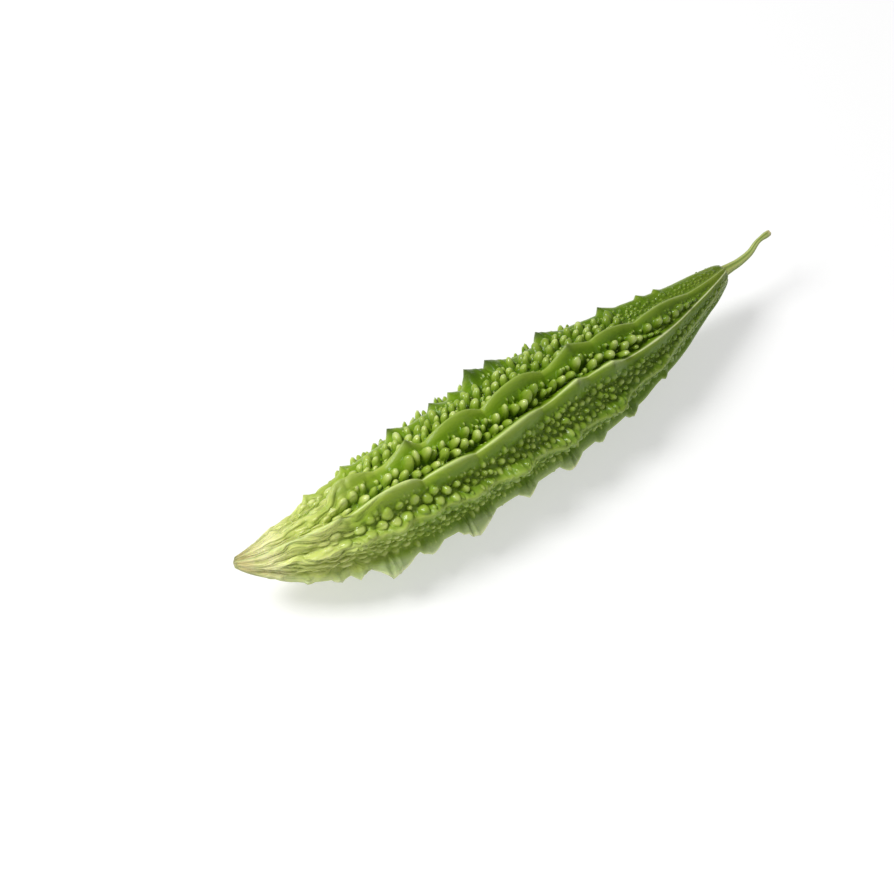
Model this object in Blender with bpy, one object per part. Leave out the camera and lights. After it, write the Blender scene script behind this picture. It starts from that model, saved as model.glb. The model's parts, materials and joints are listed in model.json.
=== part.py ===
"""A bitter gourd, picked with its stalk and lying on a table.

The fruit is one closed skin with eight toothed ridges along it and warts in the valleys between them.
It is worked out in eight strips, each from one ridge crest to the next. A point of the skin is given by
its way along the axis from the blossom tip and its angle round the axis, and the rules below say how far
out it stands. The stalk is a tapering curved tube at the other end.

Metres, +Z up. +X runs towards the stalk, and the belly of the fruit's bow faces -Y.
An angle round the axis is 0 towards -Y and a quarter turn towards +Z.
"""

import math

import bmesh
import bpy
import numpy as np
from mathutils import Vector, geometry, kdtree

MM = 0.001

# The fruit's axis
FRUIT_LENGTH = 212 * MM
TIP_X = -118 * MM
AXIS_Y = 11.6 * MM
AXIS_HEIGHT = 21.3 * MM
BOW = 12 * MM

# Radius of the valley floor against the share of the length
BODY = ((0, 1.2), (0.03, 4.5), (0.08, 8.8), (0.17, 13.3), (0.27, 16.2), (0.45, 17.3),
        (0.62, 16.9), (0.78, 12.9), (0.90, 7.9), (0.96, 5.6), (0.99, 3.8), (1, 2.6))
# How much of the bow the axis has, against the share of the length
BOW_SHAPE = ((0, 0), (0.08, 0.58), (0.17, 0.88), (0.28, 1), (0.5, 0.9), (0.75, 0.66), (0.9, 0.34), (1, 0))

# Ridges, numbered round from the lowest one in front: a low keel all the way, with teeth and blades on it.
# The turn of each crest in degrees, against the share of the length
RIDGES = 8
CRESTS = (
    ((0, 28), (0.2, 33), (0.3, 30), (0.38, 23), (0.5, 17), (0.6, 13), (0.8, 14), (1, 18)),
    ((0, 68), (0.15, 68), (0.24, 69), (0.33, 62), (0.42, 58), (0.55, 61), (0.64, 61), (0.73, 52),
     (0.85, 48), (1, 54)),
    ((0, 104), (0.18, 103), (0.3, 101), (0.42, 95), (0.55, 92), (0.65, 93), (0.75, 87), (0.85, 83),
     (0.93, 77), (1, 74)),
    ((0, 148), (0.3, 147), (0.5, 150), (0.64, 152), (0.75, 142), (0.9, 132), (1, 128)),
    ((0, 201), (0.4, 196), (0.8, 201), (1, 198)),
    ((0, 245.5), (0.25, 249.7), (0.4, 249.3), (0.6, 245.7), (0.75, 245.3), (1, 249.5)),
    ((0, 295), (0.25, 291.8), (0.4, 290), (0.6, 292.5), (0.75, 294.9), (1, 292.2)),
    ((0, 344), (0.3, 345), (0.5, 343), (0.7, 345), (1, 342)),
)
# Widths of each ridge's flanks in mm, on the side of smaller turns and on the other
FLANKS = ((4.0, 2.6), (4.8, 2.3), (5.0, 2.3), (5.5, 2.9), (2.9, 2.9), (2.9, 2.9), (2.9, 2.9), (3.4, 3.2))
FLANK_SHARE = ((0, 0.45), (0.12, 0.75), (0.3, 1), (0.65, 1), (0.85, 0.8), (0.95, 0.65), (1, 0.4))
FLANK_EDGE = 1.15
# How far a crest leans towards larger turns, for its height
LEANS = (0.1, 0.25, 0.25, 0, 0, 0, 0, 0)
KEEL_HEIGHT = 3.3 * MM
KEELS = (0.55, 0.7, 0.7, 1, 1, 1, 1, 1)
KEEL_SHARE = ((0, 0.12), (0.05, 0.4), (0.2, 0.85), (0.35, 1), (0.7, 1), (0.88, 0.6), (1, 0.12))

# How full a blade looks from the side: below 1 it is hollow, and above 1 it is arched
FIN, FLAP, ARCH = 0.82, 1.3, 1.9
# A tooth's front towards the blossom tip and its back towards the stalk, for its height
TOOTH_FRONT, TOOTH_BACK = 0.9, 2.2
# Long blades of the front ridges, in mm: place of the top, height over the keel, front, back and fullness
BLADES = {
    0: ((24, 1.4, 5, 5, FLAP), (37, 2.8, 5, 5, FLAP), (51, 3.4, 8, 4, FLAP), (63, 2.6, 6, 5, FLAP),
        (78, 3.0, 12, 8, FLAP), (97, 4.6, 9, 7, FLAP), (119, 3.6, 9, 6, FLAP), (141, 3.6, 9, 7, FLAP),
        (164, 1.8, 8, 9, FLAP)),
    1: ((33, 2.6, 26, 3.5, ARCH), (57.5, 4.8, 20, 6.5, ARCH), (76, 4.3, 12, 8.5, ARCH),
        (101.5, 4.8, 17, 12, ARCH), (128.5, 4.8, 11, 6, FIN), (144, 4.8, 9, 7, FIN),
        (167, 1.2, 10, 8, ARCH)),
    2: ((38.5, 5.0, 5.5, 14, ARCH), (66.5, 4.8, 10.5, 5, FIN), (87, 4.2, 14, 9, ARCH),
        (111, 4.8, 15, 11, ARCH), (134.5, 4.8, 10, 12, FIN), (152, 3.0, 9, 11, ARCH),
        (176, 2.4, 12, 14, ARCH)),
}
# Teeth of the ridges at the two outlines, as (place, height) in mm, and their fullness
TEETH = {
    3: (FIN, ((29.5, 1.8), (46, 2.2), (68.5, 3.4), (87, 2.6), (95.5, 2.2), (105, 5.8), (113.5, 4.6),
              (136, 4.2), (160.5, 2.6), (175.5, 1.4), (183, 1.2))),
    7: (FLAP, ((20, 1.0), (28, 1.8), (34.5, 2.4), (44, 5.2), (58, 3.0), (75, 5.0), (98, 2.8), (117, 3.2),
               (132, 1.8), (147, 2.0), (166, 1.0))),
}

# Teeth of the other ridges, drawn at random round this pitch and height
TOOTH_HEIGHT = 4.6 * MM
TOOTH_SHARE = ((0, 0), (0.1, 0.28), (0.2, 0.62), (0.35, 0.92), (0.6, 1), (0.78, 0.7), (0.9, 0.25), (1, 0))
TOOTH_PITCH = 18.5 * MM
FIRST_TOOTH = 17 * MM
LAST_TOOTH = 190 * MM

# Warts: radius, height, clearance from a crest in flank widths, and how many places are tried.
# Only the first kind has a rounded shoulder: a ring of points at this share of its radius
WART_KINDS = ((2.05 * MM, 3.9 * MM, 1.05, 5000),
              (1.45 * MM, 2.5 * MM, 0.95, 2500))
WART_SPACING = 0.93
BUD_RING = 0.62
BUD_SIDES = 5
WART_SIZE_SHARE = ((0, 0.55), (0.12, 0.78), (0.3, 1), (0.65, 1), (0.85, 0.72), (1, 0.5))
WART_HEIGHT_SHARE = ((0, 0.12), (0.1, 0.3), (0.2, 0.65), (0.3, 0.95), (0.45, 1), (0.68, 0.92),
                     (0.85, 0.5), (1, 0.1))
# Valleys with low warts: the ridge before each, the share of the length they start at, and their height
LOW_VALLEYS = ((0, 0.36, 0.35), (7, 0.1, 0.35), (2, 0.2, 0.7))
WART_STRETCH_SHARE = ((0, 2.2), (0.12, 1.6), (0.3, 1.15), (1, 1.15))
WART_LEAN = 0.25
WART_FROM = 7 * MM
WART_TO = 207 * MM
SEED = 11

# Mesh of the skin
CREST_STEP = 3.1 * MM
LEAST_STEP = 0.5 * MM
NEAR_TOP = 1.2 * MM
FOOT_CLEARANCE = 0.8
WIDEST_FLANK = 0.42
TIP_RING = 0.5 * MM

# Stalk: its route from the fruit's end, as (along, sideways to +Y, up), and its radius
JOINT_GAP = 0.3 * MM
STALK_ROUTE = ((0, 0, 0), (4, 0, -0.1), (8.4, 0, 0), (13.6, 0.5, 0.9), (18.2, 1.7, 3.0), (23.8, 2.2, 3.4))
STALK_RADIUS = ((0, 2.6), (0.06, 2.3), (0.2, 1.9), (0.45, 1.5), (0.7, 1.15), (0.85, 1.0),
                (0.95, 1.25), (1, 1.15))
STALK_POINTS = 22

# Colours, roughness
SKIN_GREEN = (0.20, 0.36, 0.05, 1)
SKIN_ROUGHNESS = 0.38
STALK_GREEN = (0.36, 0.44, 0.14, 1)
STALK_ROUGHNESS = 0.55


def smooth_through(points, places):
    """Heights at the places of a smooth curve through points given as (place, height)."""
    x, y = np.array(points, float).T
    slope = np.gradient(y, x)
    places = np.clip(np.asarray(places, float), x[0], x[-1])
    i = np.clip(np.searchsorted(x, places, side="right") - 1, 0, len(x) - 2)
    span = x[i + 1] - x[i]
    u = (places - x[i]) / span
    return (
        (2 * u**3 - 3 * u**2 + 1) * y[i]
        + (u**3 - 2 * u**2 + u) * span * slope[i]
        + (3 * u**2 - 2 * u**3) * y[i + 1]
        + (u**3 - u**2) * span * slope[i + 1]
    )


def body_radius(along):
    """Radius of the valley floor."""
    return smooth_through(BODY, along / FRUIT_LENGTH) * MM


def axis_point(along):
    """Points of the bowed axis."""
    share = along / FRUIT_LENGTH
    return np.stack([
        TIP_X + along,
        AXIS_Y - BOW * smooth_through(BOW_SHAPE, share),
        np.full_like(along, AXIS_HEIGHT),
    ], axis=-1)


def axis_way(along):
    """Unit vectors along the axis, towards the stalk."""
    step = 0.5 * MM
    way = axis_point(along + step) - axis_point(along - step)
    return way / np.linalg.norm(way, axis=-1, keepdims=True)


def outward(along, angle):
    """Unit vectors from the axis straight out through the skin."""
    way = axis_way(along)
    front = np.stack([way[..., 1], -way[..., 0], np.zeros_like(along)], axis=-1)
    up = np.array([0.0, 0.0, 1.0])
    return np.cos(angle)[..., None] * front + np.sin(angle)[..., None] * up


def on_floor(along, angle):
    """Points of the plain body, before ridges and warts."""
    return axis_point(along) + body_radius(along)[..., None] * outward(along, angle)


def crest_angle(ridge, along):
    """Angle of a ridge's crest, counted on past a full turn for ridges after the last."""
    turns = smooth_through(CRESTS[ridge % RIDGES], along / FRUIT_LENGTH)
    return np.radians(turns) + 2 * math.pi * (ridge // RIDGES)


def draw_teeth(rng):
    """For each ridge, its teeth and blades as (place, height, front, back, fullness)."""
    teeth = []
    for ridge in range(RIDGES):
        row = [(*(size * MM for size in blade), fullness) for *blade, fullness in BLADES.get(ridge, ())]
        fullness, seen = TEETH.get(ridge, (FIN, ()))
        tops = [(place * MM, height * MM) for place, height in seen]
        if not row and not tops:
            place = FIRST_TOOTH + TOOTH_PITCH * (0.5 * (ridge % 2) + rng.uniform(-0.2, 0.2))
            while place < LAST_TOOTH:
                share = float(smooth_through(TOOTH_SHARE, place / FRUIT_LENGTH))
                tops.append((place, TOOTH_HEIGHT * share * rng.uniform(0.7, 1.12)))
                place += TOOTH_PITCH * rng.uniform(0.72, 1.3)
        row += [(place, top, TOOTH_FRONT * top, TOOTH_BACK * top, fullness) for place, top in tops]
        teeth.append(row)
    return teeth


def tooth_height(row, along):
    """Height of a ridge's teeth and blades over its keel."""
    height = np.zeros_like(along)
    for place, top, front, back, fullness in row:
        reach = np.where(along < place, front, back)
        away = np.clip(np.abs(along - place) / reach, 0, 1)
        share = (1 - away) ** (1 / fullness) if fullness < 1 else 1 - away**fullness
        height = np.maximum(height, top * share)
    return height


def flank_share(ridge, along, angle):
    """Way round the body from a crest, as a share of the flank's width on that side."""
    turn = (angle - crest_angle(ridge, along) + math.pi) % (2 * math.pi) - math.pi
    below, above = FLANKS[ridge % RIDGES]
    width = np.where(turn < 0, below, above) * MM * smooth_through(FLANK_SHARE, along / FRUIT_LENGTH)
    return np.abs(turn) * body_radius(along) / width


def ridge_relief(teeth, along, angle):
    """Height of the nearest ridge over the valley floor, and how far it leans to one side."""
    height, shift = np.zeros_like(along), np.zeros_like(along)
    keel_top = KEEL_HEIGHT * smooth_through(KEEL_SHARE, along / FRUIT_LENGTH)
    for ridge, row in enumerate(teeth):
        flank = flank_share(ridge, along, angle)
        keel = KEELS[ridge] * keel_top * np.clip(1 - flank**2, 0, 1) ** 1.5
        mine = keel + tooth_height(row, along) * np.clip(1 - flank**FLANK_EDGE, 0, 1)
        shift = np.where(mine > height, mine * LEANS[ridge], shift)
        height = np.maximum(height, mine)
    return height, shift


def low_valley_share(along, angle):
    """How high warts are at some places, for the valley that they stand in."""
    share = np.ones_like(along)
    for ridge, start, height in LOW_VALLEYS:
        low = crest_angle(ridge, along)
        there = (angle - low) % (2 * math.pi) < crest_angle(ridge + 1, along) - low
        share = np.where(there & (along > start * FRUIT_LENGTH), height, share)
    return share


def draw_warts(rng):
    """For each kind of wart, its seeds as (place, angle, radius, height), none too near another."""
    taken = np.empty((0, 4))
    kinds = []
    for radius, height, clearance, tries in WART_KINDS:
        place = rng.uniform(WART_FROM, WART_TO, tries)
        angle = rng.uniform(0, 2 * math.pi, tries)
        share = place / FRUIT_LENGTH
        size = radius * smooth_through(WART_SIZE_SHARE, share) * rng.uniform(0.88, 1.12, tries)
        top = height * smooth_through(WART_HEIGHT_SHARE, share) * rng.uniform(0.8, 1.2, tries)
        top = top * low_valley_share(place, angle)
        spots = np.column_stack([on_floor(place, angle), size])
        flank = np.min([flank_share(ridge, place, angle) for ridge in range(RIDGES)], axis=0)
        seeds = []
        for i in np.flatnonzero(flank > clearance):
            apart = np.linalg.norm(taken[:, :3] - spots[i, :3], axis=1)
            if np.all(apart > WART_SPACING * (taken[:, 3] + size[i])):
                taken = np.vstack([taken, spots[i]])
                seeds.append((place[i], angle[i], size[i], top[i]))
        kinds.append(np.array(seeds))
    return kinds


class WartField:
    """Says how high the warts stand at a point of the body."""

    def __init__(self, kinds):
        self.kinds = []
        for seeds in kinds:
            spots = on_floor(seeds[:, 0], seeds[:, 1])
            ways = axis_way(seeds[:, 0])
            tree = kdtree.KDTree(len(seeds))
            for index, spot in enumerate(spots):
                tree.insert(spot, index)
            tree.balance()
            self.kinds.append((seeds, spots, ways, tree))

    def height(self, along, angle):
        """Height of the tallest dome over each point."""
        result = np.zeros(len(along))
        stretch = smooth_through(WART_STRETCH_SHARE, along / FRUIT_LENGTH)
        points = on_floor(along, angle)
        for seeds, spots, ways, tree in self.kinds:
            near = np.array([tree.find(point)[1] for point in points])
            gap = points - spots[near]
            lengthwise = np.einsum("ij,ij->i", gap, ways[near])
            across = np.einsum("ij,ij->i", gap, gap) - lengthwise**2
            reach = (lengthwise / stretch) ** 2 + np.maximum(across, 0)
            dome = np.clip(1 - reach / seeds[near, 2] ** 2, 0, 1) ** 0.8
            result = np.maximum(result, seeds[near, 3] * dome)
        return result


def skin_points(teeth, warts, along, angle):
    """Places in space of points of the skin."""
    wart = warts.height(along, angle)
    height, shift = ridge_relief(teeth, along, angle)
    way = axis_way(along)
    out = outward(along, angle)
    return (
        axis_point(along)
        + (body_radius(along) + height + wart)[:, None] * out
        + WART_LEAN * wart[:, None] * way
        + shift[:, None] * np.cross(out, way)
    )


def crest_places(row):
    """Places along a crest that its mesh has points at: every tooth's top and feet, and evenly between."""
    marks = [TIP_RING, FRUIT_LENGTH]
    tops = [tooth[0] for tooth in row]
    for place, _, front, back, _ in row:
        feet = (place - front, place + back)
        marks += [place, *(foot for foot in feet if min(abs(foot - top) for top in tops) > NEAR_TOP)]
    marks = sorted(marks)
    marks = [a for a, b in zip(marks, [*marks[1:], math.inf]) if b - a > LEAST_STEP]
    places = []
    for start, end in zip(marks, marks[1:]):
        parts = max(1, round((end - start) / CREST_STEP))
        places += [start + (end - start) * i / parts for i in range(parts)]
    return np.array([*places, FRUIT_LENGTH])


def sheet_of(along, angle, middle):
    """A strip laid flat, in millimetres, so that it can be divided into triangles."""
    return np.stack([along, (angle - middle(along)) * body_radius(along)], axis=-1) / MM


def triangles_between(flat, border=()):
    """Delaunay triangles of flat points, as rows of three indices, inside the border if there is one."""
    edges = [(a, b) for a, b in zip(border, [*border[1:], *border[:1]])]
    found = geometry.delaunay_2d_cdt([Vector(p) for p in flat], edges, [], 1 if edges else 0, 1e-6)
    faces, first = found[2], [sources[0] for sources in found[3]]
    return np.array([[first[i] for i in face] for face in faces])


def bud_ring(top, size):
    """Points round the shoulder of a large wart."""
    turns = 2 * math.pi * (np.arange(BUD_SIDES) + top[0] / size) / BUD_SIDES
    stretch = smooth_through(WART_STRETCH_SHARE, top[0] / FRUIT_LENGTH)
    return np.column_stack([
        top[0] + BUD_RING * size * stretch * np.cos(turns),
        top[1] + BUD_RING * size / body_radius(top[0]) * np.sin(turns),
    ])


def strip_inner_points(ridge, crests, kinds):
    """Along and angle of a strip's points off the crests: warts, ridge feet and the floor between."""
    def middle(along):
        return (crest_angle(ridge, along) + crest_angle(ridge + 1, along)) / 2

    seeds = np.vstack(kinds)
    budded = np.arange(len(seeds)) < len(kinds[0])
    low, high = crest_angle(ridge, seeds[:, 0]), crest_angle(ridge + 1, seeds[:, 0])
    turn = low + (seeds[:, 1] - low) % (2 * math.pi)
    mine = turn < high
    tops = np.column_stack([seeds[mine, 0], turn[mine]])
    sizes = seeds[mine, 2]
    buds = np.vstack([bud_ring(top, size) for top, size in zip(tops[budded[mine]], sizes[budded[mine]])])

    feet = []
    for side, number in ((1, ridge), (-1, ridge + 1)):
        along = crests[number % RIDGES][1:-1]
        width = FLANKS[number % RIDGES][side == 1] * MM * smooth_through(FLANK_SHARE, along / FRUIT_LENGTH)
        strip = crest_angle(ridge + 1, along) - crest_angle(ridge, along)
        aside = np.minimum(width / body_radius(along), strip * WIDEST_FLANK)
        feet.append(np.column_stack([along, crest_angle(number, along) + side * aside]))
    feet = np.vstack(feet)
    flat_tops = sheet_of(tops[:, 0], tops[:, 1], middle)
    flat_feet = sheet_of(feet[:, 0], feet[:, 1], middle)
    apart = np.linalg.norm(flat_feet[:, None] - flat_tops[None], axis=2)
    feet = feet[(apart > FOOT_CLEARANCE * sizes / MM).all(axis=1)]

    among = np.vstack([tops, feet])
    weight = np.concatenate([1 / sizes, np.full(len(feet), 1 / (0.6 * MM))])
    near = triangles_between(sheet_of(among[:, 0], among[:, 1], middle))
    near = near[(near < len(tops)).any(axis=1)]
    share = weight[near] / weight[near].sum(axis=1, keepdims=True)
    floor = (among[near] * share[..., None]).sum(axis=1)
    return np.vstack([tops, buds, feet, floor]), middle


def make_fruit(collection, material):
    """The fruit: eight strips of skin sewn together along the crests, closed at both ends."""
    rng = np.random.default_rng(SEED)
    teeth = draw_teeth(rng)
    kinds = draw_warts(rng)
    warts = WartField(kinds)
    crests = [crest_places(row) for row in teeth]

    mesh = bmesh.new()
    tip = mesh.verts.new(axis_point(np.array([0.0]))[0])
    end = mesh.verts.new(axis_point(np.array([FRUIT_LENGTH]))[0])
    crest_verts = []
    for ridge, places in enumerate(crests):
        points = skin_points(teeth, warts, places, crest_angle(ridge, places))
        crest_verts.append([mesh.verts.new(p) for p in points])

    for ridge in range(RIDGES):
        inner, middle = strip_inner_points(ridge, crests, kinds)
        left, right = crests[ridge], crests[(ridge + 1) % RIDGES]
        flat = np.vstack([
            [[0, 0]],
            sheet_of(left, crest_angle(ridge, left), middle),
            [[(FRUIT_LENGTH + body_radius(FRUIT_LENGTH)) / MM, 0]],
            sheet_of(right, crest_angle(ridge + 1, right), middle)[::-1],
            sheet_of(inner[:, 0], inner[:, 1], middle),
        ])
        points = skin_points(teeth, warts, inner[:, 0], inner[:, 1])
        verts = [tip, *crest_verts[ridge], end, *crest_verts[(ridge + 1) % RIDGES][::-1]]
        border = list(range(len(verts)))
        verts += [mesh.verts.new(p) for p in points]
        for face in triangles_between(flat, border):
            mesh.faces.new([verts[i] for i in face])

    bmesh.ops.recalc_face_normals(mesh, faces=mesh.faces)
    data = bpy.data.meshes.new("fruit")
    mesh.to_mesh(data)
    mesh.free()
    data.shade_smooth()
    fruit = bpy.data.objects.new("fruit", data)
    fruit.data.materials.append(material)
    collection.objects.link(fruit)
    return fruit


def flatten_on_floor(fruit, collection):
    """Presses flat what would reach under the table top."""
    bpy.ops.mesh.primitive_cube_add(size=1)
    slab = bpy.context.object
    slab.name = "table_cutter"
    slab.data.transform(slab.matrix_world)
    for vert in slab.data.vertices:
        vert.co = (vert.co.x * 2 * FRUIT_LENGTH, vert.co.y * FRUIT_LENGTH, (vert.co.z - 0.5) * 20 * MM)
    for user in slab.users_collection:
        user.objects.unlink(slab)
    collection.objects.link(slab)
    slab.hide_render = True
    slab.display_type = "WIRE"
    cut = fruit.modifiers.new("rests_on_table", "BOOLEAN")
    cut.operation = "DIFFERENCE"
    cut.object = slab


def make_stalk(collection, material):
    """The stalk: a tapering tube along a smooth route from the fruit's end."""
    shares = np.linspace(0, 1, STALK_POINTS)
    marks = np.linspace(0, 1, len(STALK_ROUTE))
    route = np.column_stack([
        smooth_through(np.column_stack([marks, [p[i] for p in STALK_ROUTE]]), shares) for i in range(3)
    ]) * MM
    start = axis_point(np.array([FRUIT_LENGTH]))[0] + axis_way(np.array([FRUIT_LENGTH]))[0] * JOINT_GAP
    radii = smooth_through(STALK_RADIUS, shares) * MM
    curve = bpy.data.curves.new("stalk", "CURVE")
    curve.dimensions = "3D"
    curve.bevel_depth = 1
    curve.bevel_resolution = 3
    curve.use_fill_caps = True
    spline = curve.splines.new("POLY")
    spline.points.add(STALK_POINTS - 1)
    spline.use_smooth = True
    for point, place, radius in zip(spline.points, start + route, radii):
        point.co = (*place, 1)
        point.radius = radius
    stalk = bpy.data.objects.new("stalk", curve)
    stalk.data.materials.append(material)
    collection.objects.link(stalk)
    return stalk


def make_material(name, colour, roughness):
    """A plain material of one colour."""
    material = bpy.data.materials.new(name)
    material.use_nodes = True
    shader = material.node_tree.nodes["Principled BSDF"]
    shader.inputs["Base Color"].default_value = colour
    shader.inputs["Roughness"].default_value = roughness
    shader.inputs["Metallic"].default_value = 0
    material.diffuse_color = colour
    return material


def new_collection(name):
    collection = bpy.data.collections.new(name)
    bpy.context.scene.collection.children.link(collection)
    return collection


def main():
    for obj in list(bpy.data.objects):
        bpy.data.objects.remove(obj)
    gourd = new_collection("bitter_gourd")
    cutters = new_collection("cutters")
    fruit = make_fruit(gourd, make_material("skin", SKIN_GREEN, SKIN_ROUGHNESS))
    flatten_on_floor(fruit, cutters)
    make_stalk(gourd, make_material("stalk", STALK_GREEN, STALK_ROUGHNESS))


main()
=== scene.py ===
"""The finished look of a bitter gourd that lies on a white table.

The fruit's skin is laid flat first, as points by their way along the axis and their turn round it, with the
rings of every wart among them, and joined into triangles. A Geometry Nodes tree then rolls that sheet round
the bowed axis and raises the warts. Another tree sweeps the stalk's grooved section along its route.

Metres, +Z up. +X runs towards the stalk, and the belly of the fruit's bow faces -Y. A turn round the axis is
0 towards -Y and a quarter turn towards +Z.
"""

from __future__ import annotations

import json
import logging
import math
from dataclasses import dataclass
from enum import Enum
from typing import Any, Callable, Iterable, Sequence, Union

import bpy
import numpy as np
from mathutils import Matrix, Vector, geometry, kdtree

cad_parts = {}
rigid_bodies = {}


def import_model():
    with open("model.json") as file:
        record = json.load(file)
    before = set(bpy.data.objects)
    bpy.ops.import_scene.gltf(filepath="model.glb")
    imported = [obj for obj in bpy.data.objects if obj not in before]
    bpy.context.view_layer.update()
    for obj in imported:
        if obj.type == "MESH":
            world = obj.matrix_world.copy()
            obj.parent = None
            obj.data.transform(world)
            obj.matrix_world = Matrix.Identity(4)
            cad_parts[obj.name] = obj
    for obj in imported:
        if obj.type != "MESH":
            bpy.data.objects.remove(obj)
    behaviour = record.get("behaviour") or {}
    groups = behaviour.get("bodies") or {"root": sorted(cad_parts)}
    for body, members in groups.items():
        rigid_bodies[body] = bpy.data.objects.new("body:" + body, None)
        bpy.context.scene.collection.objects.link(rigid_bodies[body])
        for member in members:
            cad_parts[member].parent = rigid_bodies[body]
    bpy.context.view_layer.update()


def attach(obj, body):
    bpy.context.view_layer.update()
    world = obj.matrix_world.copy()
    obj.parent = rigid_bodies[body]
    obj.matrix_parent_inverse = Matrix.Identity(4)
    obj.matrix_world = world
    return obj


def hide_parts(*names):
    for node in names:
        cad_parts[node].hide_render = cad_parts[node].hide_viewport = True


LOG = logging.getLogger("bitter_gourd")
MM = 0.001
FULL_TURN = 2 * math.pi
BODY_NAME = "root"
FRONT_REACH = 0.9
BACK_REACH = 2.2

Pair = tuple[float, float]
Triple = tuple[float, float, float]
Colour = Triple
Profile = tuple[Pair, ...]
Sizes = tuple[tuple[float, float, float, float], ...]
Stops = tuple[tuple[float, Colour], ...]


def smooth_through(points: Sequence[Pair], places: Any) -> np.ndarray:
    """Reads a smooth curve.

    Args:
        points: the points that it goes through, as (place, height).
        places: where it is read.

    Returns:
        The heights there.
    """
    x, y = np.array(points, float).T
    slope = np.gradient(y, x)
    places = np.clip(np.asarray(places, float), x[0], x[-1])
    i = np.clip(np.searchsorted(x, places, side="right") - 1, 0, len(x) - 2)
    span = x[i + 1] - x[i]
    u = (places - x[i]) / span
    return (
        (2 * u**3 - 3 * u**2 + 1) * y[i]
        + (u**3 - 2 * u**2 + u) * span * slope[i]
        + (3 * u**2 - 2 * u**3) * y[i + 1]
        + (u**3 - u**2) * span * slope[i + 1]
    )


def add_object(name: str, data: bpy.types.ID) -> bpy.types.Object:
    """Adds an object to the scene."""
    obj = bpy.data.objects.new(name, data)
    bpy.context.scene.collection.objects.link(obj)
    return obj


def aim(obj: bpy.types.Object, place: Triple, back: Triple) -> None:
    """Puts an object at a place, with its back turned in a direction."""
    obj.location = place
    obj.rotation_mode = "QUATERNION"
    obj.rotation_quaternion = (-Vector(back)).to_track_quat("-Z", "Y")


def operator(operation: str, reflected: bool = False) -> Callable[[Value, Number], Value]:
    """Makes the method behind one of Python's operators.

    Args:
        operation: what the Math node does.
        reflected: whether the other side is on the left.

    Returns:
        A method that adds the node and gives its result.
    """

    def method(value: Value, other: Number) -> Value:
        """Adds the Math node."""
        sides = (other, value) if reflected else (value, other)
        return value.tree.math(operation, *sides)

    return method


class Value:
    """A node's output that takes part in Python expressions."""

    __add__ = operator("ADD")
    __radd__ = operator("ADD", reflected=True)
    __sub__ = operator("SUBTRACT")
    __rsub__ = operator("SUBTRACT", reflected=True)
    __mul__ = operator("MULTIPLY")
    __rmul__ = operator("MULTIPLY", reflected=True)
    __truediv__ = operator("DIVIDE")
    __pow__ = operator("POWER")

    def __init__(self, tree: Tree, socket: bpy.types.NodeSocket) -> None:
        """Wraps a socket of a tree."""
        self.tree = tree
        self.socket = socket

    def clipped(self) -> Value:
        """The value kept between 0 and 1."""
        return self.tree.math("ADD", self, 0.0, clamp=True)

    def between(self, low: float, high: float) -> Value:
        """A smooth step: 0 up to low, and 1 from high on."""
        return self.tree.read("ShaderNodeMapRange", {"interpolation_type": "SMOOTHSTEP"},
                              {"Value": self, "From Min": low, "From Max": high})

    def until(self, low: float, high: float) -> Value:
        """A smooth step down: 1 up to low, and 0 from high on."""
        return 1 - self.between(low, high)


Number = Union[Value, float]


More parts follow.
